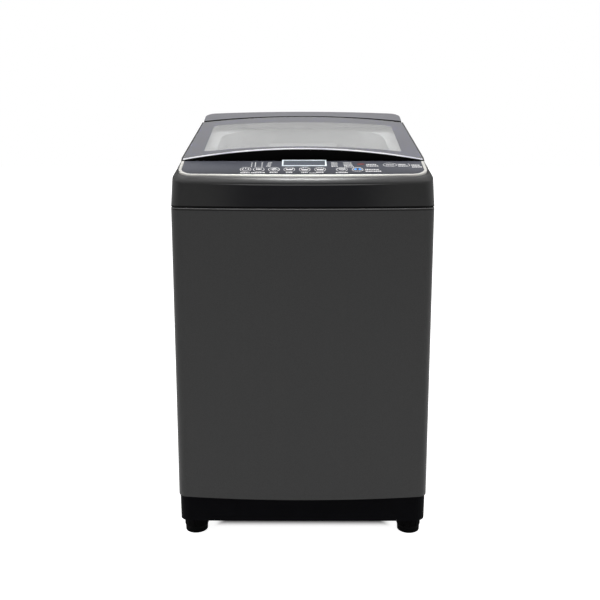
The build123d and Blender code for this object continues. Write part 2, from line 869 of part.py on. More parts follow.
def make_inlet_valve():
    back = rear_y - cover_wall
    low = inlet_z - valve_half_height
    high = inlet_z + valve_half_height
    body = block(valve_x[0], valve_x[1], valve_front_y, back, low, high)
    body = fillet(body.edges().filter_by(Axis.Z), 4.0)
    for x in inlet_xs:
        body += rod_along_y(x, back - 10, rear_y + 0.2, inlet_z, inlet_collar_r)
        body += rod_along_y(x, back - 10, rear_y + inlet_reach, inlet_z, inlet_r)
        body -= rod_along_y(x, back, rear_y + inlet_reach + 1, inlet_z, inlet_bore_r)
        body += rod_along_y(x, valve_front_y - 26, valve_front_y + 2, inlet_z, 15.0)
    body += rod_along_x(valve_x[0] - 10, valve_x[0] + 5, spigot_y, inlet_z, spigot_r)
    return body


def make_lid_switch():
    box = block(switch_x[0], switch_x[1], switch_y[0], switch_y[1], -far, far)
    slab = above(deck_plane(cover_wall + switch_height)) & under(deck_plane(cover_wall))
    return box & slab


def make_level_sensor():
    back = rear_y - cover_wall
    sensor = rod_along_y(sensor_x, back - 20, back, inlet_z, sensor_r)
    sensor += rod_along_y(sensor_x, back - 30, back - 18, inlet_z, sensor_r / 2)
    return sensor + rod(sensor_x, back - 24, inlet_z - sensor_r - 8, inlet_z - 10, 3.0)


def make_drain_outlet():
    back = rear_y - sheet
    body = rod_along_y(outlet_x, back, back + 4, hose_z, 30.0)
    body += rod_along_y(outlet_x, back - 40, rear_y + inlet_reach, hose_z, outlet_r)
    return body - rod_along_y(outlet_x, back - 60, rear_y + 40, hose_z, outlet_bore_r)


def make_cord_gland():
    back = rear_y - sheet
    body = rod_along_y(gland_x, back - sheet - 8, back + 8, gland_z, gland_r)
    body += rod_along_y(gland_x, back, back + 4, gland_z, gland_r + 4)
    body += rod_along_y(gland_x, back - sheet - 4, back - sheet, gland_z, gland_r + 3)
    return body - rod_along_y(gland_x, back - 40, back + 40, gland_z, gland_bore_r)


def make_cabinet_screws():
    screws = []
    for side in (-1, 1):
        x0, x1 = sorted((side * corner_screw_x[0], side * corner_screw_x[1]))
        screws.append(rod_along_x(x0, x1, corner_screw_y, corner_screw_z, corner_screw_r))
    for x, z in rear_screw_places():
        screw = rod_along_y(x, rear_y - 9, rear_y + 1, z, rear_screw_r)
        head = rod_along_y(x, rear_y, rear_y + 2.6, z, rear_screw_head_r)
        screws.append(screw + head)
    return Compound(children=screws)


def make_suspension_rod(x, y):
    top = gusset_z + gusset_thickness
    bar = rod(x, y, cap_z[0] - 5, top + 6, rod_r)
    bar += rod(x, y, top, top + 7, 9.0)
    bar += rod(x, y, cap_z[0], cap_z[1], cap_r)
    return bar + rod(x, y, cap_z[0] - 7, cap_z[0], 7.0)


def make_suspension_rods():
    return Compound(children=[make_suspension_rod(x, y) for x, y in rod_places()])


def make_damper_cup(x, y):
    top = lug_z[0]
    cup = rod(x, y, top - cup_height, top, cup_r)
    cup -= rod(x, y, top - cup_height - 1, top - 4, cup_r - cup_wall)
    return cup - rod(x, y, top - 10, top + 1, rod_r + 2)


def make_damper_cups():
    return Compound(children=[make_damper_cup(x, y) for x, y in rod_places()])


def make_spring(x, y):
    low = cap_z[1] + spring_wire_r + 0.3
    high = lug_z[0] - 4 - spring_wire_r - 0.3
    pitch = (high - low) / spring_turns
    tilt = math.degrees(math.atan2(pitch / 4, spring_r))
    reach = math.hypot(spring_r, pitch / 4)
    path = []
    for half in range(2 * spring_turns):
        side = 1 if half % 2 == 0 else -1
        middle = low + pitch * (half + 0.5) / 2
        turn = math.radians(tilt) * side
        plane = Plane(
            origin=(0, 0, middle), x_dir=(side * math.cos(turn), 0, -side * math.sin(turn)),
            z_dir=(math.sin(turn), 0, math.cos(turn)))
        arc = EllipticalCenterArc((0, 0), reach, spring_r, 0, arc_size=180)
        path += (plane * arc).edges()
    wire = Wire(path)
    start = Plane(origin=wire @ 0, z_dir=wire % 0)
    return Pos(x, y, 0) * sweep(start * Circle(spring_wire_r), path=wire)


def make_suspension_springs():
    return Compound(children=[make_spring(x, y) for x, y in rod_places()])


def make_outer_tub():
    inner = tub_r - tub_wall
    floor = tub_bottom_z + tub_floor
    points = [
        (seal_r, tub_bottom_z), (tub_r - 6, tub_bottom_z), (tub_r, tub_bottom_z + 6), (tub_r, tub_top_z),
        (inner, tub_top_z), (inner, floor + 6), (inner - 6, floor), (seal_r + 18, floor),
        (seal_r + 14, seal_top_z), (seal_r, seal_top_z)]
    tub = turned(points, 0, tub_y)
    core = rod(0, tub_y, floor, tub_top_z, inner)
    for x, y in rod_places():
        angle = math.degrees(math.atan2(y - tub_y, x))
        reach = math.hypot(x, y - tub_y) + 22
        lug = block(inner + 1, reach, -23, 23, lug_z[0], lug_z[1])
        lug += block(inner + 1, tub_r + 40, -4, 4, lug_z[0] - 60, lug_z[0] + 1)
        tub += Pos(0, tub_y, 0) * Rot(0, 0, angle) * lug - core
        tub -= rod(x, y, lug_z[0] - 1, lug_z[1] + 1, rod_r + 5)
    tub += rod(drain_x, drain_y, tub_bottom_z - drain_spigot_length, tub_bottom_z + 1, drain_spigot_r)
    tub -= rod(drain_x, drain_y, tub_bottom_z - drain_spigot_length - 9, floor + 1, drain_spigot_r - 4)
    for x, y in plate_bolt_places():
        tub -= rod(x, y, tub_bottom_z - 1, tub_bottom_z + 4.5, bolt_r + screw_gap)
    return tub


def make_tub_ring():
    points = [
        (tub_r + 4, tub_top_z - 22), (tub_r + 4, tub_top_z + 4), (ring_mouth_r + 8, tub_top_z + 6),
        (ring_mouth_r + 3, tub_top_z + 12), (ring_mouth_r, tub_top_z + 12), (ring_mouth_r, tub_top_z),
        (tub_r + 0.3, tub_top_z), (tub_r + 0.3, tub_top_z - 22)]
    return turned(points, 0, tub_y)


def plate_bolt_places():
    reach = plate_half_width - plate_bolt_edge
    return [(sx * reach, tub_y + sy * plate_bolt_y) for sx in (-1, 1) for sy in (-1, 1)]


def gear_bolt_places():
    return [(76 * math.cos(a), tub_y + 76 * math.sin(a)) for a in (0.4, 1.97, 3.54, 5.11)]


def make_mounting_plate():
    top = tub_bottom_z
    low = top - plate_thickness
    near, back = plate_y
    wall = plate_thickness
    inner = plate_half_width - wall
    plate = rounded_prism(plate_half_width, near, back, plate_r, low, top)
    skirt = rounded_prism(plate_half_width, near, back, plate_r, low - plate_skirt, low + 1)
    skirt -= rounded_prism(inner, near + wall, back - wall, plate_r - wall, low - plate_skirt - 1, low + 2)
    plate += skirt
    plate -= rod(0, tub_y, low - 20, top + 1, 30.0)
    plate -= rod(drain_x, drain_y, low - 20, top + 1, drain_spigot_r + 7)
    for x, y in plate_bolt_places() + gear_bolt_places():
        plate -= rod(x, y, low - 1, top + 1, bolt_r + screw_gap)
    return plate


def make_plate_bolts():
    low = tub_bottom_z - plate_thickness
    bolts = []
    for x, y in plate_bolt_places():
        bolts.append(rod(x, y, low - 5, tub_bottom_z + 4, bolt_r) + rod(x, y, low - 6, low, bolt_head_r))
    for x, y in gear_bolt_places():
        shank = rod(x, y, low - 15, low + plate_thickness - 0.2, bolt_r)
        bolts.append(shank + rod(x, y, low - 16, low - 10, bolt_head_r))
    return Compound(children=bolts)


def make_gear_case():
    top = tub_bottom_z - plate_thickness
    low = pulley_z[1] + 2
    hub = spin_tube_r + 1
    seat = bearing_zs[0] - 1
    upper = bearing_zs[1] - 4
    lower = bearing_zs[0] + bearing_height + 1
    points = [
        (hub, low), (34, low), (36, low + 8), (58, low + 10), (62, low + 14), (62, top - 14), (66, top - 10),
        (88, top - 10), (88, top), (bearing_r, top), (bearing_r, upper), (48, upper - 6), (48, lower + 5),
        (bearing_r, lower), (bearing_r, seat), (hub, seat)]
    case = turned(points, 0, tub_y)
    for step in range(8):
        angle = 45 * step + 22.5
        rib = Pos(0, tub_y, 0) * Rot(0, 0, angle) * block(58, 72, -2.5, 2.5, low + 20, top - 8)
        case += rib
    for x, y in gear_bolt_places():
        case -= rod(x, y, top - 30, top + 1, bolt_r + screw_gap)
        case -= rod(x, y, top - 26, top - 10, bolt_head_r + 1)
    return case


def make_spin_bearings():
    rings = []
    for z in bearing_zs:
        points = [
            (spin_tube_r + running_gap, z), (bearing_r - 0.05, z), (bearing_r - 0.05, z + bearing_height),
            (spin_tube_r + running_gap, z + bearing_height)]
        rings.append(turned(points, 0, tub_y))
    return Compound(children=rings)


def make_shaft_seal():
    inner = spin_tube_r + running_gap
    points = [
        (inner + 1.5, tub_bottom_z), (seal_r - 0.05, tub_bottom_z), (seal_r - 0.05, seal_top_z),
        (inner, seal_top_z), (inner, seal_top_z - 6), (inner + 1.5, seal_top_z - 8)]
    return turned(points, 0, tub_y)


def make_motor():
    y = tub_y + motor_offset
    low, high = motor_z
    points = [
        (motor_shaft_r + running_gap, low - 6), (16, low - 6), (18, low), (54, low + 2),
        (motor_r, low + 10), (motor_r, high - 10), (54, high - 2), (0, high), (0, low + 40),
        (motor_shaft_r + running_gap, low + 40)]
    motor = turned(points, 0, y)
    for step in range(4):
        angle = math.radians(45 + 90 * step)
        px = (motor_r - 8) * math.cos(angle)
        py = y + (motor_r - 8) * math.sin(angle)
        motor += rod(px, py, high - 40, tub_bottom_z - plate_thickness, 8.0)
    fin = block(motor_r - 3, motor_r + 4, -1.5, 1.5, low + 16, high - 16)
    for step in range(16):
        motor += Pos(0, y, 0) * Rot(0, 0, 22.5 * step + 11.25) * fin
    return motor


def belt_loop(grow):
    """Flat outline round both pulleys, a set distance from their rims."""
    big = Pos(0, tub_y) * Circle(pulley_r + grow)
    small = Pos(0, tub_y + motor_offset) * Circle(motor_pulley_r + grow)
    return make_hull(big.edges() + small.edges())


def make_drive_belt():
    middle = (pulley_z[0] + pulley_z[1]) / 2
    loop = belt_loop(-belt_sink) - belt_loop(-belt_sink - belt_depth)
    return extrude(level(middle - belt_height / 2) * loop, belt_height)


def pulley_groove(radius, x, y):
    middle = (pulley_z[0] + pulley_z[1]) / 2
    ring = rod(x, y, middle - groove_height / 2, middle + groove_height / 2, radius + 1)
    return ring - rod(x, y, middle - groove_height, middle + groove_height, radius - groove_depth)


def make_drive_pulley():
    low, high = pulley_z
    points = [
        (shaft_r + 0.05, low - 6), (20, low - 6), (20, low + 7), (pulley_r - 16, low + 7),
        (pulley_r - 16, low), (pulley_r, low), (pulley_r, high), (pulley_r - 16, high),
        (pulley_r - 16, low + 13), (20, low + 13), (20, high + 1.5), (shaft_r + 0.05, high + 1.5)]
    pulley = turned(points, 0, tub_y)
    for step in range(5):
        angle = math.radians(72 * step)
        pulley -= rod(48 * math.cos(angle), tub_y + 48 * math.sin(angle), low, high, 16.0)
    return pulley - pulley_groove(pulley_r, 0, tub_y)


def make_motor_pulley():
    y = tub_y + motor_offset
    low, high = pulley_z
    pulley = rod(0, y, low, high, motor_pulley_r) + rod(0, y, low - 4, motor_z[0] + 38, motor_shaft_r)
    return pulley - pulley_groove(motor_pulley_r, 0, y)


def make_wash_shaft():
    return rod(0, tub_y, pulley_z[0] - 8, pulsator_z + 22, shaft_r)


def make_spin_tube():
    flange = floor_z
    low = bearing_zs[0] - 4
    seat = flange - 8
    inner = shaft_r + running_gap
    points = [
        (inner, low), (spin_tube_r, low), (spin_tube_r, seat - 2), (28, seat), (70, seat), (70, flange),
        (inner, flange)]
    tube = turned(points, 0, tub_y)
    for step in range(4):
        arm = Pos(0, tub_y, 0) * Rot(0, 0, 90 * step + 45) * block(60, 160, -24, 24, seat, flange)
        tube += fillet(arm.edges().filter_by(Axis.Z), 8.0)
    return tube


def make_drain_valve():
    top = tub_bottom_z - 16
    valve = rod(drain_x, drain_y, hose_z - 28, top, drain_spigot_r + 5)
    valve -= rod(drain_x, drain_y, tub_bottom_z - drain_spigot_length - 0.2, top + 1, drain_spigot_r + 0.1)
    valve += rod_along_x(drain_x - 62, drain_x - 20, drain_y, hose_z, outlet_r)
    valve += rod_along_y(drain_x, drain_y - 70, drain_y - 20, hose_z, 16.0)
    valve -= rod_along_x(drain_x - 70, drain_x - 12, drain_y, hose_z, outlet_bore_r)
    return valve


def make_drain_hose():
    start = drain_x - drain_spigot_r - 8
    turn_x = outlet_x + hose_bend_r
    turn_y = drain_y + hose_bend_r
    end = rear_y - sheet - 2 * sheet - 4
    first = Line((start, drain_y, hose_z), (turn_x, drain_y, hose_z))
    diagonal = hose_bend_r * math.sin(math.pi / 4)
    corner = (turn_x - diagonal, turn_y - diagonal, hose_z)
    bend = ThreePointArc((turn_x, drain_y, hose_z), corner, (outlet_x, turn_y, hose_z))
    last = Line((outlet_x, turn_y, hose_z), (outlet_x, end, hose_z))
    path = Wire(first.edges() + bend.edges() + last.edges())
    ring = Plane(origin=(start, drain_y, hose_z), z_dir=(-1, 0, 0)) * (Circle(hose_r) - Circle(hose_bore_r))
    return sweep(ring, path=path)


def make_basket_wall():
    wall = rod(0, tub_y, basket_z[0], basket_z[1], basket_r)
    return wall - rod(0, tub_y, basket_z[0] - 1, basket_z[1] + 1, basket_r - basket_sheet)


def make_basket_floor():
    edge = basket_r - basket_sheet - 0.1
    points = [
        (30, floor_z), (edge - 4, floor_z), (edge, floor_z + 4), (edge, floor_z + 44),
        (edge - 4, floor_z + 44), (edge - 39, floor_z + 12), (edge - 43, floor_z + 10), (30, floor_z + 10)]
    return turned(points, 0, tub_y)


def make_balance_ring():
    low, high = balance_z
    groove_out = basket_r + 0.1
    groove_in = basket_r - basket_sheet - 0.1
    points = [
        (balance_inner_r + 4, low), (groove_in, low), (groove_in, basket_z[1] + 0.5),
        (groove_out, basket_z[1] + 0.5), (groove_out, low), (balance_outer_r - 2, low),
        (balance_outer_r, low + 3), (balance_outer_r, high - 8), (balance_outer_r - 8, high),
        (balance_inner_r + 10, high), (balance_inner_r + 3, high - 4), (balance_inner_r, high - 11),
        (balance_inner_r, low + 8)]
    return turned(points, 0, tub_y)


def make_lint_filter(side):
    edge = basket_r - basket_sheet - 0.1
    x0, x1 = sorted((side * (edge - 24), side * (edge + 4)))
    high = balance_z[0] - 36
    low = high - 140
    body = block(x0, x1, tub_y - 48, tub_y + 48, low, high)
    body = fillet(body.edges().filter_by(Axis.X), 12.0)
    body &= rod(0, tub_y, low - 10, high + 10, edge)
    w0, w1 = sorted((side * (edge - 30), side * (edge - 12)))
    window = block(w0, w1, tub_y - 34, tub_y + 34, low + 20, high - 20)
    return body - fillet(window.edges().filter_by(Axis.X), 8.0)


def make_lint_filters():
    return Compound(children=[make_lint_filter(side) for side in (-1, 1)])


def make_pulsator():
    z = pulsator_z
    points = [
        (shaft_r + 0.05, z - 3), (22, z - 3), (24, z), (pulsator_r - 6, z), (pulsator_r, z + 6),
        (pulsator_r - 3, z + 11), (120, z + 13), (70, z + 20), (36, z + 26), (shaft_r + 0.05, z + 26)]
    disc = turned(points, 0, tub_y)
    vane_profile = make_face(Polyline(
        (44, z + 10), (pulsator_r - 12, z + 8), (pulsator_r - 22, z + 20), (110, z + 34), (60, z + 40),
        (44, z + 34), close=True))
    vane = extrude(Plane.XZ * vane_profile, 9, both=True)
    vane = chamfer(vane.edges().filter_by(Axis.Y, reverse=True).sort_by(Axis.Z)[-6:], 4.0)
    for step in range(6):
        disc += Pos(0, tub_y, 0) * Rot(0, 0, 60 * step + 30) * vane
    return disc


def make_pulsator_cap():
    z = pulsator_z + 26
    points = [(0, z), (34, z), (33, z + 7), (24, z + 13), (0, z + 16)]
    return turned(points, 0, tub_y)


makers = {
    "cabinet_wrap": make_cabinet_wrap,
    "rear_panel": make_rear_panel,
    "corner_gussets": make_corner_gussets,
    "base_frame": make_base_frame,
    "top_cover": make_top_cover,
    "opening_frame": make_opening_frame,
    "rear_top_cover": make_rear_top_cover,
    "control_panel": make_control_panel,
    "panel_trim": make_panel_trim,
    "display_bezel": make_display_bezel,
    "display_window": make_display_window,
    "control_board": make_control_board,
    "dispenser_housing": make_dispenser_housing,
    "detergent_drawer": make_detergent_drawer,
    "inlet_valve": make_inlet_valve,
    "lid_switch": make_lid_switch,
    "level_sensor": make_level_sensor,
    "drain_outlet": make_drain_outlet,
    "cord_gland": make_cord_gland,
    "cabinet_screws": make_cabinet_screws,
    "suspension_rods": make_suspension_rods,
    "damper_cups": make_damper_cups,
    "suspension_springs": make_suspension_springs,
    "lid_frame": make_lid_frame,
    "lid_glass": make_lid_glass,
    "lid_trim": make_lid_trim,
    "hinge_pins": make_hinge_pins,
    "outer_tub": make_outer_tub,
    "tub_ring": make_tub_ring,
    "mounting_plate": make_mounting_plate,
    "plate_bolts": make_plate_bolts,
    "gear_case": make_gear_case,
    "spin_bearings": make_spin_bearings,
    "shaft_seal": make_shaft_seal,
    "motor": make_motor,
    "motor_pulley": make_motor_pulley,
    "drive_belt": make_drive_belt,
    "drive_pulley": make_drive_pulley,
    "wash_shaft": make_wash_shaft,
    "spin_tube": make_spin_tube,
    "drain_valve": make_drain_valve,
    "drain_hose": make_drain_hose,
    "basket_wall": make_basket_wall,
    "basket_floor": make_basket_floor,
    "balance_ring": make_balance_ring,
    "lint_filters": make_lint_filters,
    "pulsator": make_pulsator,
    "pulsator_cap": make_pulsator_cap,
}


def main():
    os.makedirs("parts", exist_ok=True)
    for name, maker in makers.items():
        export_step(maker(), f"parts/{name}.step")
    for name, x in button_xs.items():
        export_step(make_button(x), f"parts/{name}.step")
    for name, (x, y) in foot_places().items():
        export_step(make_foot(x, y), f"parts/{name}.step")


main()
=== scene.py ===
import math

import bmesh
import bpy
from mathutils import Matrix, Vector


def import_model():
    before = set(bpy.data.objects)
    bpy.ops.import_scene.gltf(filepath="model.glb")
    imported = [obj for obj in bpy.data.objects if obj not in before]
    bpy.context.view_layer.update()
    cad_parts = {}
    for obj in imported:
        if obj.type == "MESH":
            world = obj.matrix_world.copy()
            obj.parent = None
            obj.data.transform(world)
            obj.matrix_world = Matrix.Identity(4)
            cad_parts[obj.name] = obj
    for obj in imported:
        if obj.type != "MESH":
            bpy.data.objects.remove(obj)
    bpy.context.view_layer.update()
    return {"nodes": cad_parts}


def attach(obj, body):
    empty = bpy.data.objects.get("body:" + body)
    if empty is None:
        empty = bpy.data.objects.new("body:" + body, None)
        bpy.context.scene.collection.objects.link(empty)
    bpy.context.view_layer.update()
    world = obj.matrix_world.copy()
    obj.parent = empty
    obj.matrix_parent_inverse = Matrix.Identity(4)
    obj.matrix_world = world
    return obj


# Looks of the top load washing machine. Sizes are in millimetres and turn into metres where they are used.
MM = 0.001

# Camera, fitted to the photograph
camera_place = (-1.2, -2158.0, 1036.0)
camera_pitch = 10.773
camera_yaw = 0.15
camera_shift = -0.0613
focal_px = 828.0
image_px = 600.0
sensor_width = 36.0

# Deck of the cover: it climbs to the back from its front edge
deck_front_y = -310.0
deck_front_z = 880.0
deck_slope = 9.8

# Control panel: its plane climbs to the back from the deck's front edge
panel_y = deck_front_y
panel_z = 881.6
panel_slope = 15.9
key_setback = 42.0
key_y = key_setback / math.cos(math.radians(panel_slope))
key_face = 0.6
key_xs = {
    "power": -130.0,
    "program": -100.0,
    "level": -65.5,
    "soak": -30.5,
    "wash": 4.5,
    "rinse": 39.5,
    "spin": 89.0,
    "start": 125.0,
}

# Prints: height over the face, thickness, how much larger the icons are drawn, and the rings
print_lift = 0.06
print_height = 0.08
icon_scale = 1.25
key_ring = (13.0, 14.6)
key_ring_line = 1.3
start_ring_r = 9.8
start_ring_line = 1.0

# Rows of small print: bars and gaps along a row, and the heights of its bars
dash_lengths = (3.4, 2.2, 4.3, 2.8, 1.9, 3.8)
dash_gap = 0.9
label_height = 5.4
note_height = 6.0
row_height = 4.4

# Lid: height of its side edge over the deck, its crown, the printed frame on its glass and the clear window
lid_rise = 15.6
lid_half_width = 286.0
lid_front_y = -208.0
hinge_y = 230.0
crown_front = 26.0
crown_rear = 16.0
glass_thickness = 4.0
border_inset = 2.0
border_front_r = 8.0
border_rear_r = 1.0
border_lifts = (0.15, 0.35)
border_rings = 6
window_half_width = 236.0
window_flare = 0.034
window_y = (-162.0, 165.0)
window_front_bow = 24.0
window_rear_dip = 20.0
window_front_r = 8.0
window_rear_r = 22.0
side_steps = 24
corner_steps = 8

# Painted shade: dark bands along the lid's sides, as distances from its edge where they start and where they
# are full
enamel_shade_band = (5.4, 5.0)
glass_shade_band = (5.0, 4.7)

# Bright strip on the lid's front: depth under the lid's top at which its bright part ends and its painted
# shade begins
strip_shade_depth = (3.0, 2.6)

# Drain holes in the basket's wall, dark discs of painted shade, and the cosine past which a lint filter
# covers them
basket_inner_r = 249.2
basket_y = 2.5
hole_r = 4.0
hole_sides = 14
hole_rows = 12
hole_columns = 40
hole_low = 325.0
hole_pitch = 34.0
filter_cosine = 0.955

# Seam under the cover: painted shade on the cover's lip, a painted highlight on the cabinet's bend and a
# painted shade line below the bend
cover_bottom = 813.0
lip_shade_heights = (2.0, 3.6)
cabinet_top = 811.0
bend_height = 2.4
bend_fade = 0.2
shade_line_drops = (3.4, 2.8)

# Cover: level of its crease, taken along the deck's slope to the machine's middle, the span of the painted
# highlight along the crease, and the shoulder's height, over which a painted highlight grows
crease_level = 918.8
crease_highlight_width = (0.6, 1.6)
shoulder_height = 9.0

# Cover: distances from the middle plane over which its gloss and its painted light change: the painted shade
# of the mid front, the painted highlight on the crease, the painted sheen on the sides and the painted
# highlight on the flat top
middle_shade_reach = (80.0, 250.0)
crease_highlight_reach = (100.0, 230.0)
side_sheen_reach = (266.0, 284.0)
flat_highlight_reach = (20.0, 160.0)
gloss_reach = (20.0, 190.0)

# Upward share of a surface's direction from which the cover's sides count for their painted sheen and its
# flat top for its painted highlight
side_facing = (0.1, 0.35)
flat_facing = (0.9, 0.985)

# Part of the deck under the lid that is pale
pale_half_width = 262.0
pale_y = (-192.0, 236.0)
pale_fade = 1.0

# Painted light that changes along the depth: the panel's painted shade, and the trim's painted highlight
# with its reach from the middle plane
panel_shade_y = (-300.0, -250.0)
trim_highlight_y = (-296.0, -270.0)
trim_highlight_reach = (100.0, 240.0)

# Y share of a surface's direction at which the rear cover turns black with painted shade, on its face
# towards the lid
rear_shade_facing = (-0.9, -0.6)

# Patterns: no stretch, the size of clouds against the grain, and how far the roughness strays
even = (1.0, 1.0, 1.0)
cloud_size = 40
rough_vary = 0.12

# Light: the even level, and what gloss sees from front to back and from the horizon up
world_level = 0.6
front_dim_y = (-0.75, 0.1)
front_level = 0.12
horizon_level = 0.58
zenith_level = 0.95
floor_glow = 0.92

# Lamps, in metres and watts
over_place = (0.0, -0.75, 3.0)
over_aim = (0.0, -0.3, 0.9)
over_size = (0.9, 0.9)
over_power = 34.0
shine_size = (0.35, 0.35)
shine_power = 90.0
side_place = (2.6, -1.4, 1.9)
side_aim = (0.0, 0.0, 0.6)
side_size = (1.4, 1.8)
side_power = 18.0

# Floor: its half width in metres, and the painted shadow under the machine with the fade at its edge
floor_half = 12.0
shadow_half_width = 190.0
shadow_half_depth = 208.0
shadow_y = -2.0
shadow_fade = 34.0


def screen(red, green, blue):
    """Colour from 0 to 255 screen values."""
    values = []
    for channel in (red, green, blue):
        share = channel / 255
        if share <= 0.04045:
            values.append(share / 12.92)
        else:
            values.append(((share + 0.055) / 1.055) ** 2.4)
    return (values[0], values[1], values[2], 1.0)


def grey(value):
    return screen(value, value, value)


def scaled(color, share):
    return (color[0] * share, color[1] * share, color[2] * share, 1.0)


def new_material(name):
    material = bpy.data.materials.new(name)
    material.use_nodes = True
    return material


def shader_of(material):
    return material.node_tree.nodes["Principled BSDF"]


def add_node(owner, kind):
    """New node of a material or a world."""
    return owner.node_tree.nodes.new(kind)


def join(owner, source, target):
    owner.node_tree.links.new(source, target)


def feed(owner, value, socket):
    """Puts a constant or an output into a socket."""
    if isinstance(value, (float, tuple)):
        socket.default_value = value
    else:
        join(owner, value, socket)


def math_node(owner, operation, first, second):
    """Result of a sum on two numbers; each may be a constant or an output."""
    node = add_node(owner, "ShaderNodeMath")
    node.operation = operation
    for socket, value in zip(node.inputs, (first, second)):
        feed(owner, value, socket)
    return node.outputs["Value"]


def product(owner, first, second):
    return math_node(owner, "MULTIPLY", first, second)


def absolute(owner, value):
    return math_node(owner, "ABSOLUTE", value, 0.0)


def ramp_value(owner, source, start, end, low, high):
    """Number that goes smoothly from low to high while its source goes from start to end."""
    node = add_node(owner, "ShaderNodeMapRange")
    node.interpolation_type = "SMOOTHSTEP"
    node.inputs["From Min"].default_value = start
    node.inputs["From Max"].default_value = end
    node.inputs["To Min"].default_value = low
    node.inputs["To Max"].default_value = high
    join(owner, source, node.inputs["Value"])
    return node.outputs["Result"]


def fade(owner, source, span, low, high):
    """Number that goes smoothly from low to high while a length goes over a span in millimetres."""
    return ramp_value(owner, source, span[0] * MM, span[1] * MM, low, high)


def blend(owner, factor, first, second):
    """Number between two others; each may be a constant or an output."""
    node = add_node(owner, "ShaderNodeMix")
    node.data_type = "FLOAT"
    join(owner, factor, node.inputs["Factor"])
    feed(owner, first, node.inputs["A"])
    feed(owner, second, node.inputs["B"])
    return node.outputs["Result"]


def mix_color(material, factor, first, second):
    """Colour between two others; each may be a constant or an output."""
    node = add_node(material, "ShaderNodeMix")
    node.data_type = "RGBA"
    join(material, factor, node.inputs["Factor"])
    for name, value in (("A", first), ("B", second)):
        socket = [entry for entry in node.inputs if entry.name == name and entry.type == "RGBA"][0]
        feed(material, value, socket)
    return [entry for entry in node.outputs if entry.type == "RGBA"][0]


def point_of(material):
    """Coordinates of the surface in metres, one output for each of X, Y and Z."""
    coordinates = add_node(material, "ShaderNodeTexCoord")
    split = add_node(material, "ShaderNodeSeparateXYZ")
    join(material, coordinates.outputs["Object"], split.inputs["Vector"])
    return split.outputs


def facing_of(material):
    """Direction that the surface faces, one output for each of X, Y and Z."""
    geometry = add_node(material, "ShaderNodeNewGeometry")
    split = add_node(material, "ShaderNodeSeparateXYZ")
    join(material, geometry.outputs["Normal"], split.inputs["Vector"])
    return split.outputs


def across_of(material):
    """Distance of the surface from the middle plane, in metres."""
    return absolute(material, point_of(material)["X"])


def color_of(material):
    """Colour that the material has so far."""
    return shader_of(material).inputs["Base Color"].links[0].from_socket


def set_color(material, color):
    join(material, color, shader_of(material).inputs["Base Color"])


def set_shine(material, shine):
    join(material, shine, shader_of(material).inputs["Specular IOR Level"])


def place(material, stretch=even):
    """Coordinates of the surface, in metres, stretched along each axis."""
    coordinates = add_node(material, "ShaderNodeTexCoord")
    mapping = add_node(material, "ShaderNodeMapping")
    mapping.inputs["Scale"].default_value = stretch
    join(material, coordinates.outputs["Object"], mapping.inputs["Vector"])
    return mapping.outputs["Vector"]


def noise(material, scale, detail, stretch=even):
    texture = add_node(material, "ShaderNodeTexNoise")
    texture.inputs["Scale"].default_value = scale
    texture.inputs["Detail"].default_value = detail
    join(material, place(material, stretch), texture.inputs["Vector"])
    return texture.outputs["Fac"]


def spread(material, source, low, high, start=0.3, end=0.7):
    """Number that follows a pattern between two values."""
    mapped = add_node(material, "ShaderNodeMapRange")
    mapped.inputs["From Min"].default_value = start
    mapped.inputs["From Max"].default_value = end
    mapped.inputs["To Min"].default_value = low
    mapped.inputs["To Max"].default_value = high
    join(material, source, mapped.inputs["Value"])
    return mapped.outputs["Result"]


def tint(material, source, dark, light, start=0.3, end=0.7):
    """Colour that follows a pattern between two colours."""
    ramp = add_node(material, "ShaderNodeValToRGB")
    ramp.color_ramp.elements[0].position = start
    ramp.color_ramp.elements[0].color = dark
    ramp.color_ramp.elements[1].position = end
    ramp.color_ramp.elements[1].color = light
    join(material, source, ramp.inputs["Fac"])
    return ramp.outputs["Color"]


def crystals(material, scale, dark, light, start, end):
    """Colour of flakes or crystals, each with a tone of its own."""
    texture = add_node(material, "ShaderNodeTexVoronoi")
    texture.inputs["Scale"].default_value = scale
    join(material, place(material), texture.inputs["Vector"])
    return tint(material, texture.outputs["Color"], dark, light, start, end)


def bump(material, source, height):
    """Fine relief, its height in millimetres."""
    node = add_node(material, "ShaderNodeBump")
    node.inputs["Strength"].default_value = 1.0
    node.inputs["Distance"].default_value = height * MM
    join(material, source, node.inputs["Height"])
    join(material, node.outputs["Normal"], shader_of(material).inputs["Normal"])


def soften_edges(material, radius):
    """Rounds the shading of sharp edges, the radius in millimetres."""
    node = add_node(material, "ShaderNodeBevel")
    node.samples = 6
    node.inputs["Radius"].default_value = radius * MM
    relief = [entry for entry in material.node_tree.nodes if entry.type == "BUMP"][0]
    join(material, node.outputs["Normal"], relief.inputs["Normal"])


def finish(name, roughness, grain, relief, metal=0.0, shine=0.5, stretch=even):
    """Material without its colour; roughness and relief vary a little at the scale of its grain."""
    material = new_material(name)
    shader = shader_of(material)
    shader.inputs["Metallic"].default_value = metal
    shader.inputs["Specular IOR Level"].default_value = shine
    fine = noise(material, grain, 4.0, stretch)
    rough = spread(material, fine, roughness * (1 - rough_vary), roughness * (1 + rough_vary))
    join(material, rough, shader.inputs["Roughness"])
    bump(material, fine, relief)
    return material


def surface(name, color, vary, roughness, grain, relief, metal=0.0, shine=0.5, stretch=even):
    """Material whose colour varies a little too, in clouds much larger than its grain."""
    material = finish(name, roughness, grain, relief, metal, shine, stretch)
    cloud = noise(material, grain / cloud_size, 3.0, stretch)
    set_color(material, tint(material, cloud, scaled(color, 1 - vary), scaled(color, 1 + vary)))
    return material


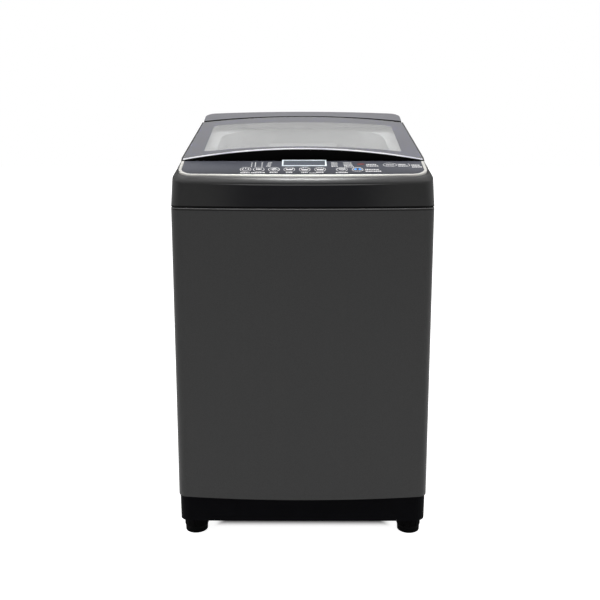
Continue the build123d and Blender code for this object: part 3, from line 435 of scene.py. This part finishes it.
def painted_steel():
    """Charcoal paint with fine flakes and slight orange peel; a painted highlight on its upper bend over a
    painted shade line.
    """
    material = finish("painted_steel", roughness=0.42, grain=260.0, relief=0.03, shine=0.15)
    color = crystals(material, 900.0, grey(45), grey(52), 0.1, 0.9)
    height = point_of(material)["Z"]
    bend = cabinet_top - bend_height
    # Painted shade: a dark line just below the upper bend.
    line = fade(material, height, (bend - shade_line_drops[0], bend - shade_line_drops[1]), 0.0, 1.0)
    color = mix_color(material, line, color, grey(10))
    # Painted highlight on the upper bend, where light catches it.
    painted_highlight = fade(material, height, (bend - bend_fade, bend + bend_fade), 0.0, 1.0)
    set_color(material, mix_color(material, painted_highlight, color, grey(88)))
    return material


def zinc_steel():
    """Zinc-coated sheet with its crystal pattern."""
    material = finish("zinc_steel", roughness=0.38, grain=400.0, relief=0.01, metal=0.9)
    set_color(material, crystals(material, 110.0, grey(144), grey(162), 0.0, 1.0))
    return material


def brushed_steel(name, value, stretch):
    return surface(
        name, grey(value), vary=0.06, roughness=0.26, grain=300.0, relief=0.004, metal=1.0, stretch=stretch)


def dark_steel():
    return surface("dark_steel", grey(44), vary=0.08, roughness=0.4, grain=400.0, relief=0.01, metal=0.6)


def over_crease(material):
    """Height of the surface over the cover's crease, which climbs with the deck."""
    point = point_of(material)
    rise = product(material, point["Y"], math.tan(math.radians(deck_slope)))
    level = math_node(material, "SUBTRACT", point["Z"], rise)
    return math_node(material, "SUBTRACT", level, crease_level * MM)


def under_lid(material, across):
    """One on the part of the deck that the lid covers."""
    depth = point_of(material)["Y"]
    inside = fade(material, across, (pale_half_width, pale_half_width + pale_fade), 1.0, 0.0)
    behind = fade(material, depth, (pale_y[0], pale_y[0] + pale_fade), 0.0, 1.0)
    before = fade(material, depth, (pale_y[1], pale_y[1] + pale_fade), 1.0, 0.0)
    return product(material, inside, product(material, behind, before))


def cover_plastic():
    """Dark moulding, pale under the lid, with painted light: painted shade darkest mid front and on its
    lower lip, painted highlights on its shoulder, crease and flat top, and painted sheen on its sloping
    sides.
    """
    material = surface("cover_plastic", grey(19), vary=0.06, roughness=0.41, grain=420.0, relief=0.006)
    soften_edges(material, 4.0)
    across = across_of(material)
    upward = facing_of(material)["Z"]
    height = over_crease(material)

    # Painted shade: darkest in the middle of the front.
    middle = fade(material, across, middle_shade_reach, 1.0, 0.0)
    color = mix_color(material, middle, color_of(material), screen(4, 4, 8))
    # Painted highlight: paler up the shoulder from the crease.
    shoulder = fade(material, height, (0.0, shoulder_height), 0.0, 1.0)
    color = mix_color(material, shoulder, color, grey(80))
    # Painted highlight: a pale line along the crease, fading towards the sides.
    crease = fade(material, absolute(material, height), crease_highlight_width, 1.0, 0.0)
    crease = product(material, crease, fade(material, across, crease_highlight_reach, 1.0, 0.0))
    color = mix_color(material, crease, color, grey(78))
    # Painted shade: the lowest part of the lip, over the seam, is dark.
    lip_shade_span = (cover_bottom + lip_shade_heights[0], cover_bottom + lip_shade_heights[1])
    lip_shade = fade(material, point_of(material)["Z"], lip_shade_span, 1.0, 0.0)
    color = mix_color(material, lip_shade, color, grey(22))
    # Painted sheen: paler sloping sides, with their gloss taken away.
    sloping = ramp_value(material, upward, side_facing[0], side_facing[1], 0.0, 1.0)
    side = product(material, sloping, fade(material, across, side_sheen_reach, 0.0, 1.0))
    color = mix_color(material, side, color, grey(74))
    # Painted highlight: paler flat top near the middle.
    flat_highlight = ramp_value(material, upward, flat_facing[0], flat_facing[1], 0.0, 1.0)
    flat_highlight = product(material, flat_highlight, fade(material, across, flat_highlight_reach, 1.0, 0.0))
    color = mix_color(material, flat_highlight, color, grey(130))
    set_color(material, mix_color(material, under_lid(material, across), color, grey(186)))

    front_shine = ramp_value(material, middle, 0.0, 1.0, 0.5, 0.3)
    shoulder_shine = fade(material, across, gloss_reach, 0.4, 0.08)
    shine = blend(material, shoulder, front_shine, shoulder_shine)
    matt = math_node(material, "MAXIMUM", side, lip_shade)
    set_shine(material, blend(material, matt, shine, 0.0))
    return material


def rear_plastic():
    """Grey moulding; painted shade makes its face towards the lid black."""
    material = surface(
        "rear_plastic", screen(100, 100, 106), vary=0.06, roughness=0.4, grain=420.0, relief=0.006)
    # Painted shade on the face towards the lid.
    front = ramp_value(material, facing_of(material)["Y"], rear_shade_facing[0], rear_shade_facing[1], 1.0, 0.0)
    set_color(material, mix_color(material, front, color_of(material), grey(6)))
    return material


def lid_plastic():
    return surface("lid_plastic", grey(4), vary=0.1, roughness=0.4, grain=420.0, relief=0.004, shine=0.04)


def panel_gloss():
    """Dark gloss; painted shade makes it darker towards its front edge, so it turns a little paler towards
    the lid.
    """
    material = surface(
        "panel_gloss", screen(72, 74, 82), vary=0.05, roughness=0.42, grain=500.0, relief=0.002, shine=0.2)
    # Painted shade, darker towards the front edge.
    front = fade(material, point_of(material)["Y"], panel_shade_y, 1.0, 0.0)
    set_color(material, mix_color(material, front, color_of(material), screen(46, 48, 55)))
    return material


def black_plastic():
    return surface(
        "black_plastic", screen(6, 6, 8), vary=0.15, roughness=0.6, grain=900.0, relief=0.02, shine=0.02)


def black_rubber():
    return surface("black_rubber", grey(9), vary=0.15, roughness=0.75, grain=700.0, relief=0.04, shine=0.02)


def cream_trim():
    """Cream moulding, with a painted highlight that makes it whitest at the middle of the panel's front."""
    material = surface(
        "cream_trim", screen(194, 193, 188),
        vary=0.02, roughness=0.35, grain=400.0, relief=0.003, shine=0.3)
    # Painted highlight at the middle of the front.
    front = fade(material, point_of(material)["Y"], trim_highlight_y, 1.0, 0.0)
    middle = fade(material, across_of(material), trim_highlight_reach, 1.0, 0.0)
    white = product(material, front, middle)
    set_color(material, mix_color(material, white, color_of(material), screen(250, 250, 243)))
    return material


def bright_metal():
    return surface(
        "bright_metal", screen(214, 216, 226),
        vary=0.03, roughness=0.14, grain=300.0, relief=0.002, metal=1.0)


def strip_metal():
    """Plated strip: painted reflections make it brighter and duller in turn along its length, painted shade
    makes it dark below its upper edge, and a faint painted glow brightens it.
    """
    material = finish("strip_metal", roughness=0.3, grain=300.0, relief=0.002)
    # Painted reflection: brighter and duller in turn along the strip.
    along = noise(material, 9.0, 1.0, (1.0, 0.0, 0.0))
    color = tint(material, along, screen(196, 196, 214), screen(252, 252, 255), 0.3, 0.5)
    # Painted shade below the strip's upper edge.
    point = point_of(material)
    bow = crown_front / lid_half_width ** 2 / MM
    drop = product(material, product(material, point["X"], point["X"]), bow)
    level = math_node(material, "ADD", point["Z"], drop)
    top = lid_top(0.0, lid_front_y)
    lower = fade(material, level, (top - strip_shade_depth[0], top - strip_shade_depth[1]), 1.0, 0.0)
    color = mix_color(material, lower, color, grey(14))
    set_color(material, color)
    # Painted glow: the strip gives off a little light of its own colour, though it is no lamp.
    shader = shader_of(material)
    join(material, color, shader.inputs["Emission Color"])
    shader.inputs["Emission Strength"].default_value = 0.12
    return material


def pale_plastic(name, color):
    return surface(name, color, vary=0.03, roughness=0.38, grain=320.0, relief=0.008)


def lid_side_shade(material, insets):
    """One in a band of painted shade along the lid's sides."""
    span = (lid_half_width - insets[0], lid_half_width - insets[1])
    return fade(material, across_of(material), span, 0.0, 1.0)


def clear_glass():
    """Clear glass with faint smears, and painted shade that makes it a dull dark edge at the sides."""
    material = new_material("clear_glass")
    shader = shader_of(material)
    shader.inputs["IOR"].default_value = 1.5
    smears = noise(material, 9.0, 4.0)
    join(material, spread(material, smears, 0.0, 0.03), shader.inputs["Roughness"])
    # Painted shade: dull, dark and not see-through along the sides.
    edge = lid_side_shade(material, glass_shade_band)
    set_color(material, mix_color(material, edge, (0.94, 0.95, 0.95, 1.0), grey(66)))
    join(material, blend(material, edge, 1.0, 0.0), shader.inputs["Transmission Weight"])
    set_shine(material, blend(material, edge, 0.5, 0.0))
    return material


def border_print():
    """Dark enamel on the underside of the glass, black with painted shade along the lid's sides."""
    material = surface(
        "border_print", screen(26, 26, 58), vary=0.05, roughness=0.4, grain=600.0, relief=0.002, shine=0.3)
    # Painted shade: black along the sides.
    edge = lid_side_shade(material, enamel_shade_band)
    set_color(material, mix_color(material, edge, color_of(material), grey(2)))
    return material


def dark_window():
    return surface(
        "dark_window", screen(88, 93, 101), vary=0.15, roughness=0.3, grain=260.0, relief=0.001, shine=0.3)


def print_ink(name, color):
    return surface(name, color, vary=0.05, roughness=0.5, grain=900.0, relief=0.002, shine=0.3)


def blue_light():
    """Small lamp that is on."""
    material = surface(
        "blue_light", screen(40, 130, 225), vary=0.05, roughness=0.3, grain=900.0, relief=0.002)
    shader = shader_of(material)
    shader.inputs["Emission Color"].default_value = screen(60, 160, 255)
    shader.inputs["Emission Strength"].default_value = 0.5
    return material


# Painted shade for the holes in the basket's wall.
def hole_shade():
    return surface("hole_shade", grey(14), vary=0.1, roughness=0.7, grain=600.0, relief=0.002, shine=0.1)


def board_green():
    return surface("board_green", screen(28, 74, 46), vary=0.15, roughness=0.45, grain=500.0, relief=0.02)


def cast_metal():
    return surface("cast_metal", grey(150), vary=0.08, roughness=0.45, grain=500.0, relief=0.04, metal=0.9)


def enamel():
    return surface("enamel", grey(70), vary=0.08, roughness=0.35, grain=300.0, relief=0.02, metal=0.2)


def paint_nodes(nodes):
    """Gives every CAD node its material."""
    panel = panel_gloss()
    black = black_plastic()
    rubber = black_rubber()
    zinc = zinc_steel()
    rod_steel = brushed_steel("rod_steel", 170, (1.0, 1.0, 0.05))
    basket_steel = brushed_steel("basket_steel", 190, (0.4, 0.4, 8.0))
    white = pale_plastic("white_plastic", grey(226))
    mid = pale_plastic("mid_grey_plastic", grey(168))
    tub = pale_plastic("tub_plastic", grey(208))
    cast = cast_metal()
    looks = {
        "cabinet_wrap": painted_steel(),
        "rear_panel": zinc,
        "corner_gussets": zinc,
        "base_frame": black,
        "top_cover": cover_plastic(),
        "rear_top_cover": rear_plastic(),
        "opening_frame": pale_plastic("throat_plastic", grey(188)),
        "control_panel": panel,
        "panel_trim": cream_trim(),
        "display_bezel": pale_plastic("bezel_plastic", screen(232, 241, 246)),
        "display_window": dark_window(),
        "control_board": board_green(),
        "dispenser_housing": white,
        "detergent_drawer": pale_plastic("drawer_plastic", grey(222)),
        "inlet_valve": white,
        "lid_switch": black,
        "level_sensor": black,
        "drain_outlet": mid,
        "cord_gland": rubber,
        "cabinet_screws": dark_steel(),
        "suspension_rods": rod_steel,
        "damper_cups": mid,
        "suspension_springs": rod_steel,
        "lid_frame": lid_plastic(),
        "lid_glass": clear_glass(),
        "lid_trim": strip_metal(),
        "hinge_pins": rod_steel,
        "outer_tub": tub,
        "tub_ring": tub,
        "mounting_plate": zinc,
        "plate_bolts": zinc,
        "gear_case": cast,
        "spin_bearings": rod_steel,
        "shaft_seal": rubber,
        "motor": enamel(),
        "motor_pulley": cast,
        "drive_belt": rubber,
        "drive_pulley": black,
        "wash_shaft": rod_steel,
        "spin_tube": rod_steel,
        "drain_valve": white,
        "drain_hose": rubber,
        "basket_wall": basket_steel,
        "basket_floor": mid,
        "balance_ring": mid,
        "lint_filters": white,
        "pulsator": mid,
        "pulsator_cap": bright_metal(),
    }
    for key in key_xs:
        looks["button_" + key] = panel
    for name in nodes:
        if name.startswith("foot_"):
            looks[name] = rubber
    for name, node in nodes.items():
        node.data.materials.clear()
        node.data.materials.append(looks[name])


def on_panel(x, along, lift):
    """Point over the control panel, in metres."""
    turn = math.radians(panel_slope)
    y = panel_y + along * math.cos(turn) - lift * math.sin(turn)
    z = panel_z + along * math.sin(turn) + lift * math.cos(turn)
    return Vector((x * MM, y * MM, z * MM))


def on_basket(along, height, lift):
    """Point on the inside of the basket's wall, in metres."""
    turn = along / basket_inner_r
    reach = basket_inner_r - lift
    x = reach * math.cos(turn)
    y = basket_y + reach * math.sin(turn)
    return Vector((x * MM, y * MM, height * MM))


def lid_top(x, y):
    """Height of the lid's upper face."""
    edge = deck_front_z + (y - deck_front_y) * math.tan(math.radians(deck_slope)) + lid_rise
    share = (y - lid_front_y) / (hinge_y - lid_front_y)
    crown = crown_front + (crown_rear - crown_front) * share
    radius = (lid_half_width ** 2 + crown ** 2) / (2 * crown)
    return edge + crown - radius + math.sqrt(radius ** 2 - x ** 2)


def new_piece(name, mesh, material, body):
    """Piece from a finished mesh, riding on a body."""
    bmesh.ops.recalc_face_normals(mesh, faces=mesh.faces)
    data = bpy.data.meshes.new(name)
    mesh.to_mesh(data)
    mesh.free()
    piece = bpy.data.objects.new(name, data)
    bpy.context.scene.collection.objects.link(piece)
    data.materials.append(material)
    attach(piece, body)


def rounded_loop(half, y0, y1, front_r, rear_r):
    """Points round a rectangle with rounded corners, the same number whatever its size."""
    corners = [
        (half - rear_r, y1 - rear_r, rear_r, 0),
        (-half + rear_r, y1 - rear_r, rear_r, 90),
        (-half + front_r, y0 + front_r, front_r, 180),
        (half - front_r, y0 + front_r, front_r, 270),
    ]
    arcs = [arc(x, y, radius, radius, start, start + 90, corner_steps) for x, y, radius, start in corners]
    points = []
    for number, corner in enumerate(arcs):
        points += corner
        from_x, from_y = corner[-1]
        to_x, to_y = arcs[(number + 1) % 4][0]
        for step in range(1, side_steps):
            share = step / side_steps
            points.append((from_x + (to_x - from_x) * share, from_y + (to_y - from_y) * share))
    return points


def window_loop():
    """Edge of the clear window: its front bows forward, its rear dips, and it widens to the back."""
    points = []
    for x, y in rounded_loop(window_half_width, window_y[0], window_y[1], window_front_r, window_rear_r):
        share = (y - window_y[0]) / (window_y[1] - window_y[0])
        middle = 1 - (x / window_half_width) ** 2
        shift = window_front_bow + (window_rear_dip - window_front_bow) * share
        points.append((x * (1 + window_flare * share), y - middle * shift))
    return points


def border_layer(mesh, inner, outer, lift):
    """Points of the enamel frame at one height in the glass, in rings from the window outwards."""
    loops = []
    for ring in range(border_rings + 1):
        share = ring / border_rings
        loop = []
        for (xi, yi), (xo, yo) in zip(inner, outer):
            x = xi + (xo - xi) * share
            y = yi + (yo - yi) * share
            z = lid_top(x, y) - glass_thickness + lift
            loop.append(mesh.verts.new((x * MM, y * MM, z * MM)))
        loops.append(loop)
    return loops


def make_glass_border(material):
    """Dark enamel frame on the glass, a thin closed ring inside its lower face."""
    inner = window_loop()
    outer = rounded_loop(
        lid_half_width - border_inset, lid_front_y + border_inset, hinge_y - border_inset,
        border_front_r, border_rear_r)
    mesh = bmesh.new()
    low, high = [border_layer(mesh, inner, outer, lift) for lift in border_lifts]
    count = len(inner)
    for i in range(count):
        j = (i + 1) % count
        for ring in range(border_rings):
            mesh.faces.new((high[ring][i], high[ring + 1][i], high[ring + 1][j], high[ring][j]))
            mesh.faces.new((low[ring][j], low[ring + 1][j], low[ring + 1][i], low[ring][i]))
        mesh.faces.new((low[0][i], high[0][i], high[0][j], low[0][j]))
        mesh.faces.new((low[-1][j], high[-1][j], high[-1][i], low[-1][i]))
    new_piece("glass_border", mesh, material, "lid")


def prism(mesh, points, lay, low, high):
    """Thin closed slab over an outline; lay turns (x, along, lift) into a point."""
    bottom = [mesh.verts.new(lay(x, along, low)) for x, along in points]
    top = [mesh.verts.new(lay(x, along, high)) for x, along in points]
    mesh.faces.new(top)
    mesh.faces.new(bottom[::-1])
    for i in range(len(points)):
        j = (i + 1) % len(points)
        mesh.faces.new((bottom[i], bottom[j], top[j], top[i]))


def band(mesh, outer, inner, lay, low, high):
    """Thin closed slab between two outlines with the same number of points."""
    levels = []
    for lift in (low, high):
        for points in (outer, inner):
            levels.append([mesh.verts.new(lay(x, along, lift)) for x, along in points])
    low_out, low_in, high_out, high_in = levels
    for i in range(len(outer)):
        j = (i + 1) % len(outer)
        mesh.faces.new((high_out[i], high_out[j], high_in[j], high_in[i]))
        mesh.faces.new((low_in[i], low_in[j], low_out[j], low_out[i]))
        mesh.faces.new((low_out[i], low_out[j], high_out[j], high_out[i]))
        mesh.faces.new((low_in[j], low_in[i], high_in[i], high_in[j]))


def stroke(points, width):
    """Outline of a line of even width through points."""
    left = []
    right = []
    for i, (x, y) in enumerate(points):
        x0, y0 = points[max(i - 1, 0)]
        x1, y1 = points[min(i + 1, len(points) - 1)]
        length = math.hypot(x1 - x0, y1 - y0)
        dx = -(y1 - y0) / length * width / 2
        dy = (x1 - x0) / length * width / 2
        left.append((x + dx, y + dy))
        right.append((x - dx, y - dy))
    return right + left[::-1]


def ellipse(x, y, rx, ry, count=40):
    turns = [2 * math.pi * i / count for i in range(count)]
    return [(x + rx * math.cos(t), y + ry * math.sin(t)) for t in turns]


def arc(x, y, rx, ry, start, end, count=24):
    turns = [math.radians(start + (end - start) * i / count) for i in range(count + 1)]
    return [(x + rx * math.cos(t), y + ry * math.sin(t)) for t in turns]


def bar(x0, x1, y0, y1):
    return [(x0, y0), (x1, y0), (x1, y1), (x0, y1)]


def ring_pair(x, y, rx, ry, width):
    return ellipse(x, y, rx, ry), ellipse(x, y, rx - width, ry - width)


def dashes(x0, x1, y, height, shift):
    """Row of short bars that fills a line of small print without any letters."""
    bars = []
    x = x0
    number = shift
    while x < x1 - 1.0:
        end = min(x + dash_lengths[number % len(dash_lengths)], x1)
        bars.append(bar(x, end, y, y + height))
        x = end + dash_gap
        number += 1
    return bars


def stacked(x, width, low, high, height, pitch):
    """Column of short bars."""
    bars = []
    along = low
    while along + height <= high:
        bars.append(bar(x - width / 2, x + width / 2, along, along + height))
        along += pitch
    return bars


def print_piece(name, shapes, rings, lay, lift, material, body):
    """Printed marks as one thin piece."""
    mesh = bmesh.new()
    for points in shapes:
        prism(mesh, points, lay, lift, lift + print_height)
    for outer, inner in rings:
        band(mesh, outer, inner, lay, lift, lift + print_height)
    new_piece(name, mesh, material, body)


def power_icon(x):
    """Open ring with a bar in its gap."""
    line = 1.6
    radius = 6.0
    ring = stroke(arc(x, key_y - 0.6, radius, radius, 125, 415), line)
    stem = bar(x - line / 2, x + line / 2, key_y + 0.5, key_y + 7.2)
    return [ring, stem], []


def square(x, half):
    return bar(x - half, x + half, key_y - half, key_y + half)


def program_icon(x):
    """Square in a square frame."""
    return [square(x, 2.4)], [(square(x, 6), square(x, 4.4))]


def level_icon(x):
    """Three waves, the middle one longest."""
    waves = []
    for row, reach in ((-4.5, 4.0), (0.0, 7.0), (4.5, 4.0)):
        line = [(x - reach + i * reach / 10, key_y + row + 1.3 * math.sin(i * 0.63)) for i in range(21)]
        waves.append(stroke(line, 1.7))
    return waves, []


def tub_shapes(x, y):
    """Wash tub with water in it."""
    rim = 6.5
    foot = 4.5
    half_height = 5
    corners = [(-rim, half_height), (-foot, -half_height), (foot, -half_height), (rim, half_height)]
    sides = stroke([(x + u, y + v) for u, v in corners], 1.5)
    wave = [(x - 5.6 + i * 0.7, y + 1.2 + 0.9 * math.sin(i * 0.8)) for i in range(17)]
    water = wave[::-1] + [(x - 4.6, y - 4.4), (x + 4.6, y - 4.4)]
    return [sides, water]


def soak_icon(x):
    return tub_shapes(x, key_y), []


def wash_icon(x):
    """Tub with two bubbles over it."""
    bubbles = []
    for shift, height, radius in ((-2.4, 6.6, 1.5), (2.0, 7.4, 1.1)):
        bubbles.append(ellipse(x + shift, key_y + height, radius, radius, 16))
    return tub_shapes(x, key_y - 1) + bubbles, []


def rinse_icon(x):
    """Tub with three drops over it."""
    half = 0.6
    drops = []
    for shift in (-2.6, 0.0, 2.6):
        drops.append(bar(x + shift - half, x + shift + half, key_y + 4.4, key_y + 8.2))
    return tub_shapes(x, key_y - 1) + drops, []


def spin_icon(x):
    """Spiral."""
    steps = 45
    spiral = []
    for i in range(steps + 1):
        turn = math.radians(i * 20)
        reach = 1.0 + 6.4 * i / steps
        spiral.append((x + reach * math.cos(turn), key_y + reach * math.sin(turn)))
    return [stroke(spiral, 1.3)], []


def start_icon(x):
    return [], [ring_pair(x, key_y, start_ring_r, start_ring_r, start_ring_line)]


def enlarged(points, x):
    """Outline made larger about a key's middle."""
    return [(x + (u - x) * icon_scale, key_y + (v - key_y) * icon_scale) for u, v in points]


def make_key_prints(material, lamp):
    """Icon on each key, and the two lamps of the start key."""
    icons = {
        "power": power_icon,
        "program": program_icon,
        "level": level_icon,
        "soak": soak_icon,
        "wash": wash_icon,
        "rinse": rinse_icon,
        "spin": spin_icon,
        "start": start_icon,
    }
    lift = key_face + print_lift
    for key, icon in icons.items():
        x = key_xs[key]
        shapes, rings = icon(x)
        shapes = [enlarged(points, x) for points in shapes]
        body = "button_" + key + "_body"
        print_piece("print_" + key, shapes, rings, on_panel, lift, material, body)
    x = key_xs["start"]
    lamps = [ellipse(x + shift, key_y, 2.6, 4.2, 24) for shift in (-4.8, 4.8)]
    print_piece("start_lamps", lamps, [], on_panel, lift, lamp, "button_start_body")


def key_labels():
    """Row of small print under each key; each has a width and a place along the panel."""
    labels = {
        "power": (21, 19.6),
        "program": (33, 19.6),
        "level": (18, 21.2),
        "soak": (15, 21.2),
        "wash": (15, 21.2),
        "rinse": (18, 21.2),
        "spin": (29, 20.4),
    }
    shapes = []
    for number, (key, (width, along)) in enumerate(labels.items()):
        x = key_xs[key]
        shapes += dashes(x - width / 2, x + width / 2, along, label_height, number)
    return shapes + dashes(15.0, 29.5, 18.6, 3.4, 3)


def scales():
    """Scales and columns of small print on both sides of the display."""
    shapes = []
    for x in (-117.6, -109.2, -93.8):
        shapes += stacked(x, 2.2, 59, 95, 3.6, 5.6)
    for row in range(4):
        shapes += dashes(-84.5 + row * 1.6, -74 + row * 1.0, 61 + row * 8.2, row_height, row)
        shapes += dashes(66.0, 80.0, 61 + row * 8.4, row_height, row + 2)
        shapes += dashes(95.5 - row * 0.6, 117 - row * 1.4, 58 + row * 9.0, 4.6, row + 1)
    return shapes


def right_notes():
    """Blocks of two rows at the panel's right, each with its two ends and the places of its rows."""
    blocks = (
        (146.5, 174, (63, 73)),
        (142, 178.5, (29, 40)),
        (219.5, 241, (63, 74)),
        (250.5, 273, (57, 69)),
    )
    shapes = []
    for x0, x1, rows in blocks:
        for number, along in enumerate(rows):
            shapes += dashes(x0, x1 - number * 4, along, note_height, number)
    return shapes + dashes(192, 210, 71, note_height, 1)


def make_panel_prints(material):
    """Rings round the keys, scales and rows of small print on the control panel."""
    rings = [ring_pair(x, key_y, key_ring[0], key_ring[1], key_ring_line) for x in key_xs.values()]
    rings.append((ellipse(201, 74, 16, 13), ellipse(201, 74, 14.8, 11.4)))
    shapes = key_labels() + scales() + right_notes()
    shapes.append(stroke(arc(240, 73, 6, 11, -60, 60), 1.2))
    print_piece("panel_print", shapes, rings, on_panel, print_lift, material, "cabinet")


def make_red_mark(material):
    """Reddish indicator mark beside the start key."""
    shapes = [stroke(arc(134.0, 70, 10, 14, 35, 145), 2.4), bar(127, 141, 74, 79)]
    print_piece("red_mark", shapes, [], on_panel, print_lift, material, "cabinet")


def make_basket_holes(material):
    """Drain holes of the spin basket as dark discs of painted shade, in staggered rows that leave out the
    two lint filters.
    """
    shapes = []
    for row in range(hole_rows):
        height = hole_low + row * hole_pitch
        for column in range(hole_columns):
            turn = math.radians((column + 0.5 * (row % 2)) * 360 / hole_columns)
            if abs(math.cos(turn)) > filter_cosine:
                continue
            shapes.append(ellipse(turn * basket_inner_r, height, hole_r, hole_r, hole_sides))
    print_piece("basket_holes", shapes, [], on_basket, print_lift, material, "basket")


def add_camera():
    data = bpy.data.cameras.new("camera")
    data.sensor_width = sensor_width
    data.lens = focal_px / image_px * sensor_width
    data.shift_y = camera_shift
    camera = bpy.data.objects.new("camera", data)
    camera.location = Vector(camera_place) * MM
    camera.rotation_euler = (math.radians(90 - camera_pitch), 0, math.radians(camera_yaw))
    bpy.context.scene.collection.objects.link(camera)
    bpy.context.scene.camera = camera


def seen_directly(owner):
    """One where a ray comes from the camera or through a glass."""
    path = add_node(owner, "ShaderNodeLightPath").outputs
    return math_node(owner, "MAXIMUM", path["Is Camera Ray"], path["Is Transmission Ray"])


def mirrored(owner):
    """One where a ray comes from a glossy surface."""
    return add_node(owner, "ShaderNodeLightPath").outputs["Is Glossy Ray"]


def studio_reflection(world):
    """What a glossy surface sees: a dim room in front, paler behind and overhead."""
    coordinates = add_node(world, "ShaderNodeTexCoord")
    split = add_node(world, "ShaderNodeSeparateXYZ")
    join(world, coordinates.outputs["Generated"], split.inputs["Vector"])
    behind = ramp_value(world, split.outputs["Y"], front_dim_y[0], front_dim_y[1], front_level, 1.0)
    above = ramp_value(world, split.outputs["Z"], 0.0, 1.0, horizon_level, zenith_level)
    return product(world, behind, above)


def add_world():
    """White behind the object, an even soft light on it, and a studio for its gloss."""
    world = bpy.data.worlds.new("world")
    world.use_nodes = True
    bpy.context.scene.world = world
    world.node_tree.nodes.clear()
    strength = blend(world, mirrored(world), world_level, studio_reflection(world))
    strength = blend(world, seen_directly(world), strength, 1.0)
    light = add_node(world, "ShaderNodeBackground")
    light.inputs["Color"].default_value = (1.0, 1.0, 1.0, 1.0)
    join(world, strength, light.inputs["Strength"])
    output = add_node(world, "ShaderNodeOutputWorld")
    join(world, light.outputs["Background"], output.inputs["Surface"])


def floor_white():
    """Pale floor that shows white, with a painted shadow where the machine stands over it."""
    material = new_material("floor")
    shader = shader_of(material)
    shader.inputs["Base Color"].default_value = (0.8, 0.8, 0.8, 1.0)
    shader.inputs["Roughness"].default_value = 0.9
    shader.inputs["Specular IOR Level"].default_value = 0.0
    shader.inputs["Emission Color"].default_value = (1.0, 1.0, 1.0, 1.0)
    # Painted shadow: less glow inside a rectangle under the machine.
    over_x = math_node(material, "SUBTRACT", across_of(material), shadow_half_width * MM)
    depth = math_node(material, "SUBTRACT", point_of(material)["Y"], shadow_y * MM)
    over_y = math_node(material, "SUBTRACT", absolute(material, depth), shadow_half_depth * MM)
    outside = math_node(material, "MAXIMUM", over_x, over_y)
    glow = fade(material, outside, (0.0, shadow_fade), 0.0, floor_glow)
    seen = math_node(material, "MAXIMUM", seen_directly(material), mirrored(material))
    join(material, product(material, seen, glow), shader.inputs["Emission Strength"])
    return material


def add_floor():
    """Floor under the object."""
    mesh = bmesh.new()
    corners = bar(-floor_half, floor_half, -floor_half, floor_half)
    mesh.faces.new([mesh.verts.new((x, y, 0.0)) for x, y in corners])
    data = bpy.data.meshes.new("floor")
    mesh.to_mesh(data)
    mesh.free()
    floor = bpy.data.objects.new("floor", data)
    bpy.context.scene.collection.objects.link(floor)
    data.materials.append(floor_white())


def add_lamp(name, spot, target, size, power, lights=True, shines=True):
    """Rectangular lamp; it may be left out of the gloss, or of the even light."""
    data = bpy.data.lights.new(name, "AREA")
    data.shape = "RECTANGLE"
    data.size = size[0]
    data.size_y = size[1]
    data.energy = power
    lamp = bpy.data.objects.new(name, data)
    lamp.location = spot
    aim = Vector(target) - Vector(spot)
    lamp.rotation_euler = aim.to_track_quat("-Z", "Y").to_euler()
    lamp.visible_diffuse = lights
    lamp.visible_glossy = shines
    bpy.context.scene.collection.objects.link(lamp)


def add_lamps():
    """Soft lamps from above and both sides, and a small one from above that only gloss shows."""
    add_lamp("top_lamp", over_place, over_aim, over_size, over_power, shines=False)
    add_lamp("shine_lamp", over_place, over_aim, shine_size, shine_power, lights=False)
    for name, side in (("left_lamp", -1), ("right_lamp", 1)):
        spot = (side * side_place[0], side_place[1], side_place[2])
        add_lamp(name, spot, side_aim, side_size, side_power, shines=False)


def main():
    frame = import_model()
    bpy.context.scene.view_settings.view_transform = "Standard"
    paint_nodes(frame["nodes"])
    make_glass_border(border_print())
    marks = print_ink("white_print", screen(214, 214, 214))
    make_key_prints(marks, blue_light())
    make_panel_prints(marks)
    make_red_mark(print_ink("red_print", screen(126, 62, 58)))
    make_basket_holes(hole_shade())
    add_camera()
    add_world()
    add_floor()
    add_lamps()


main()
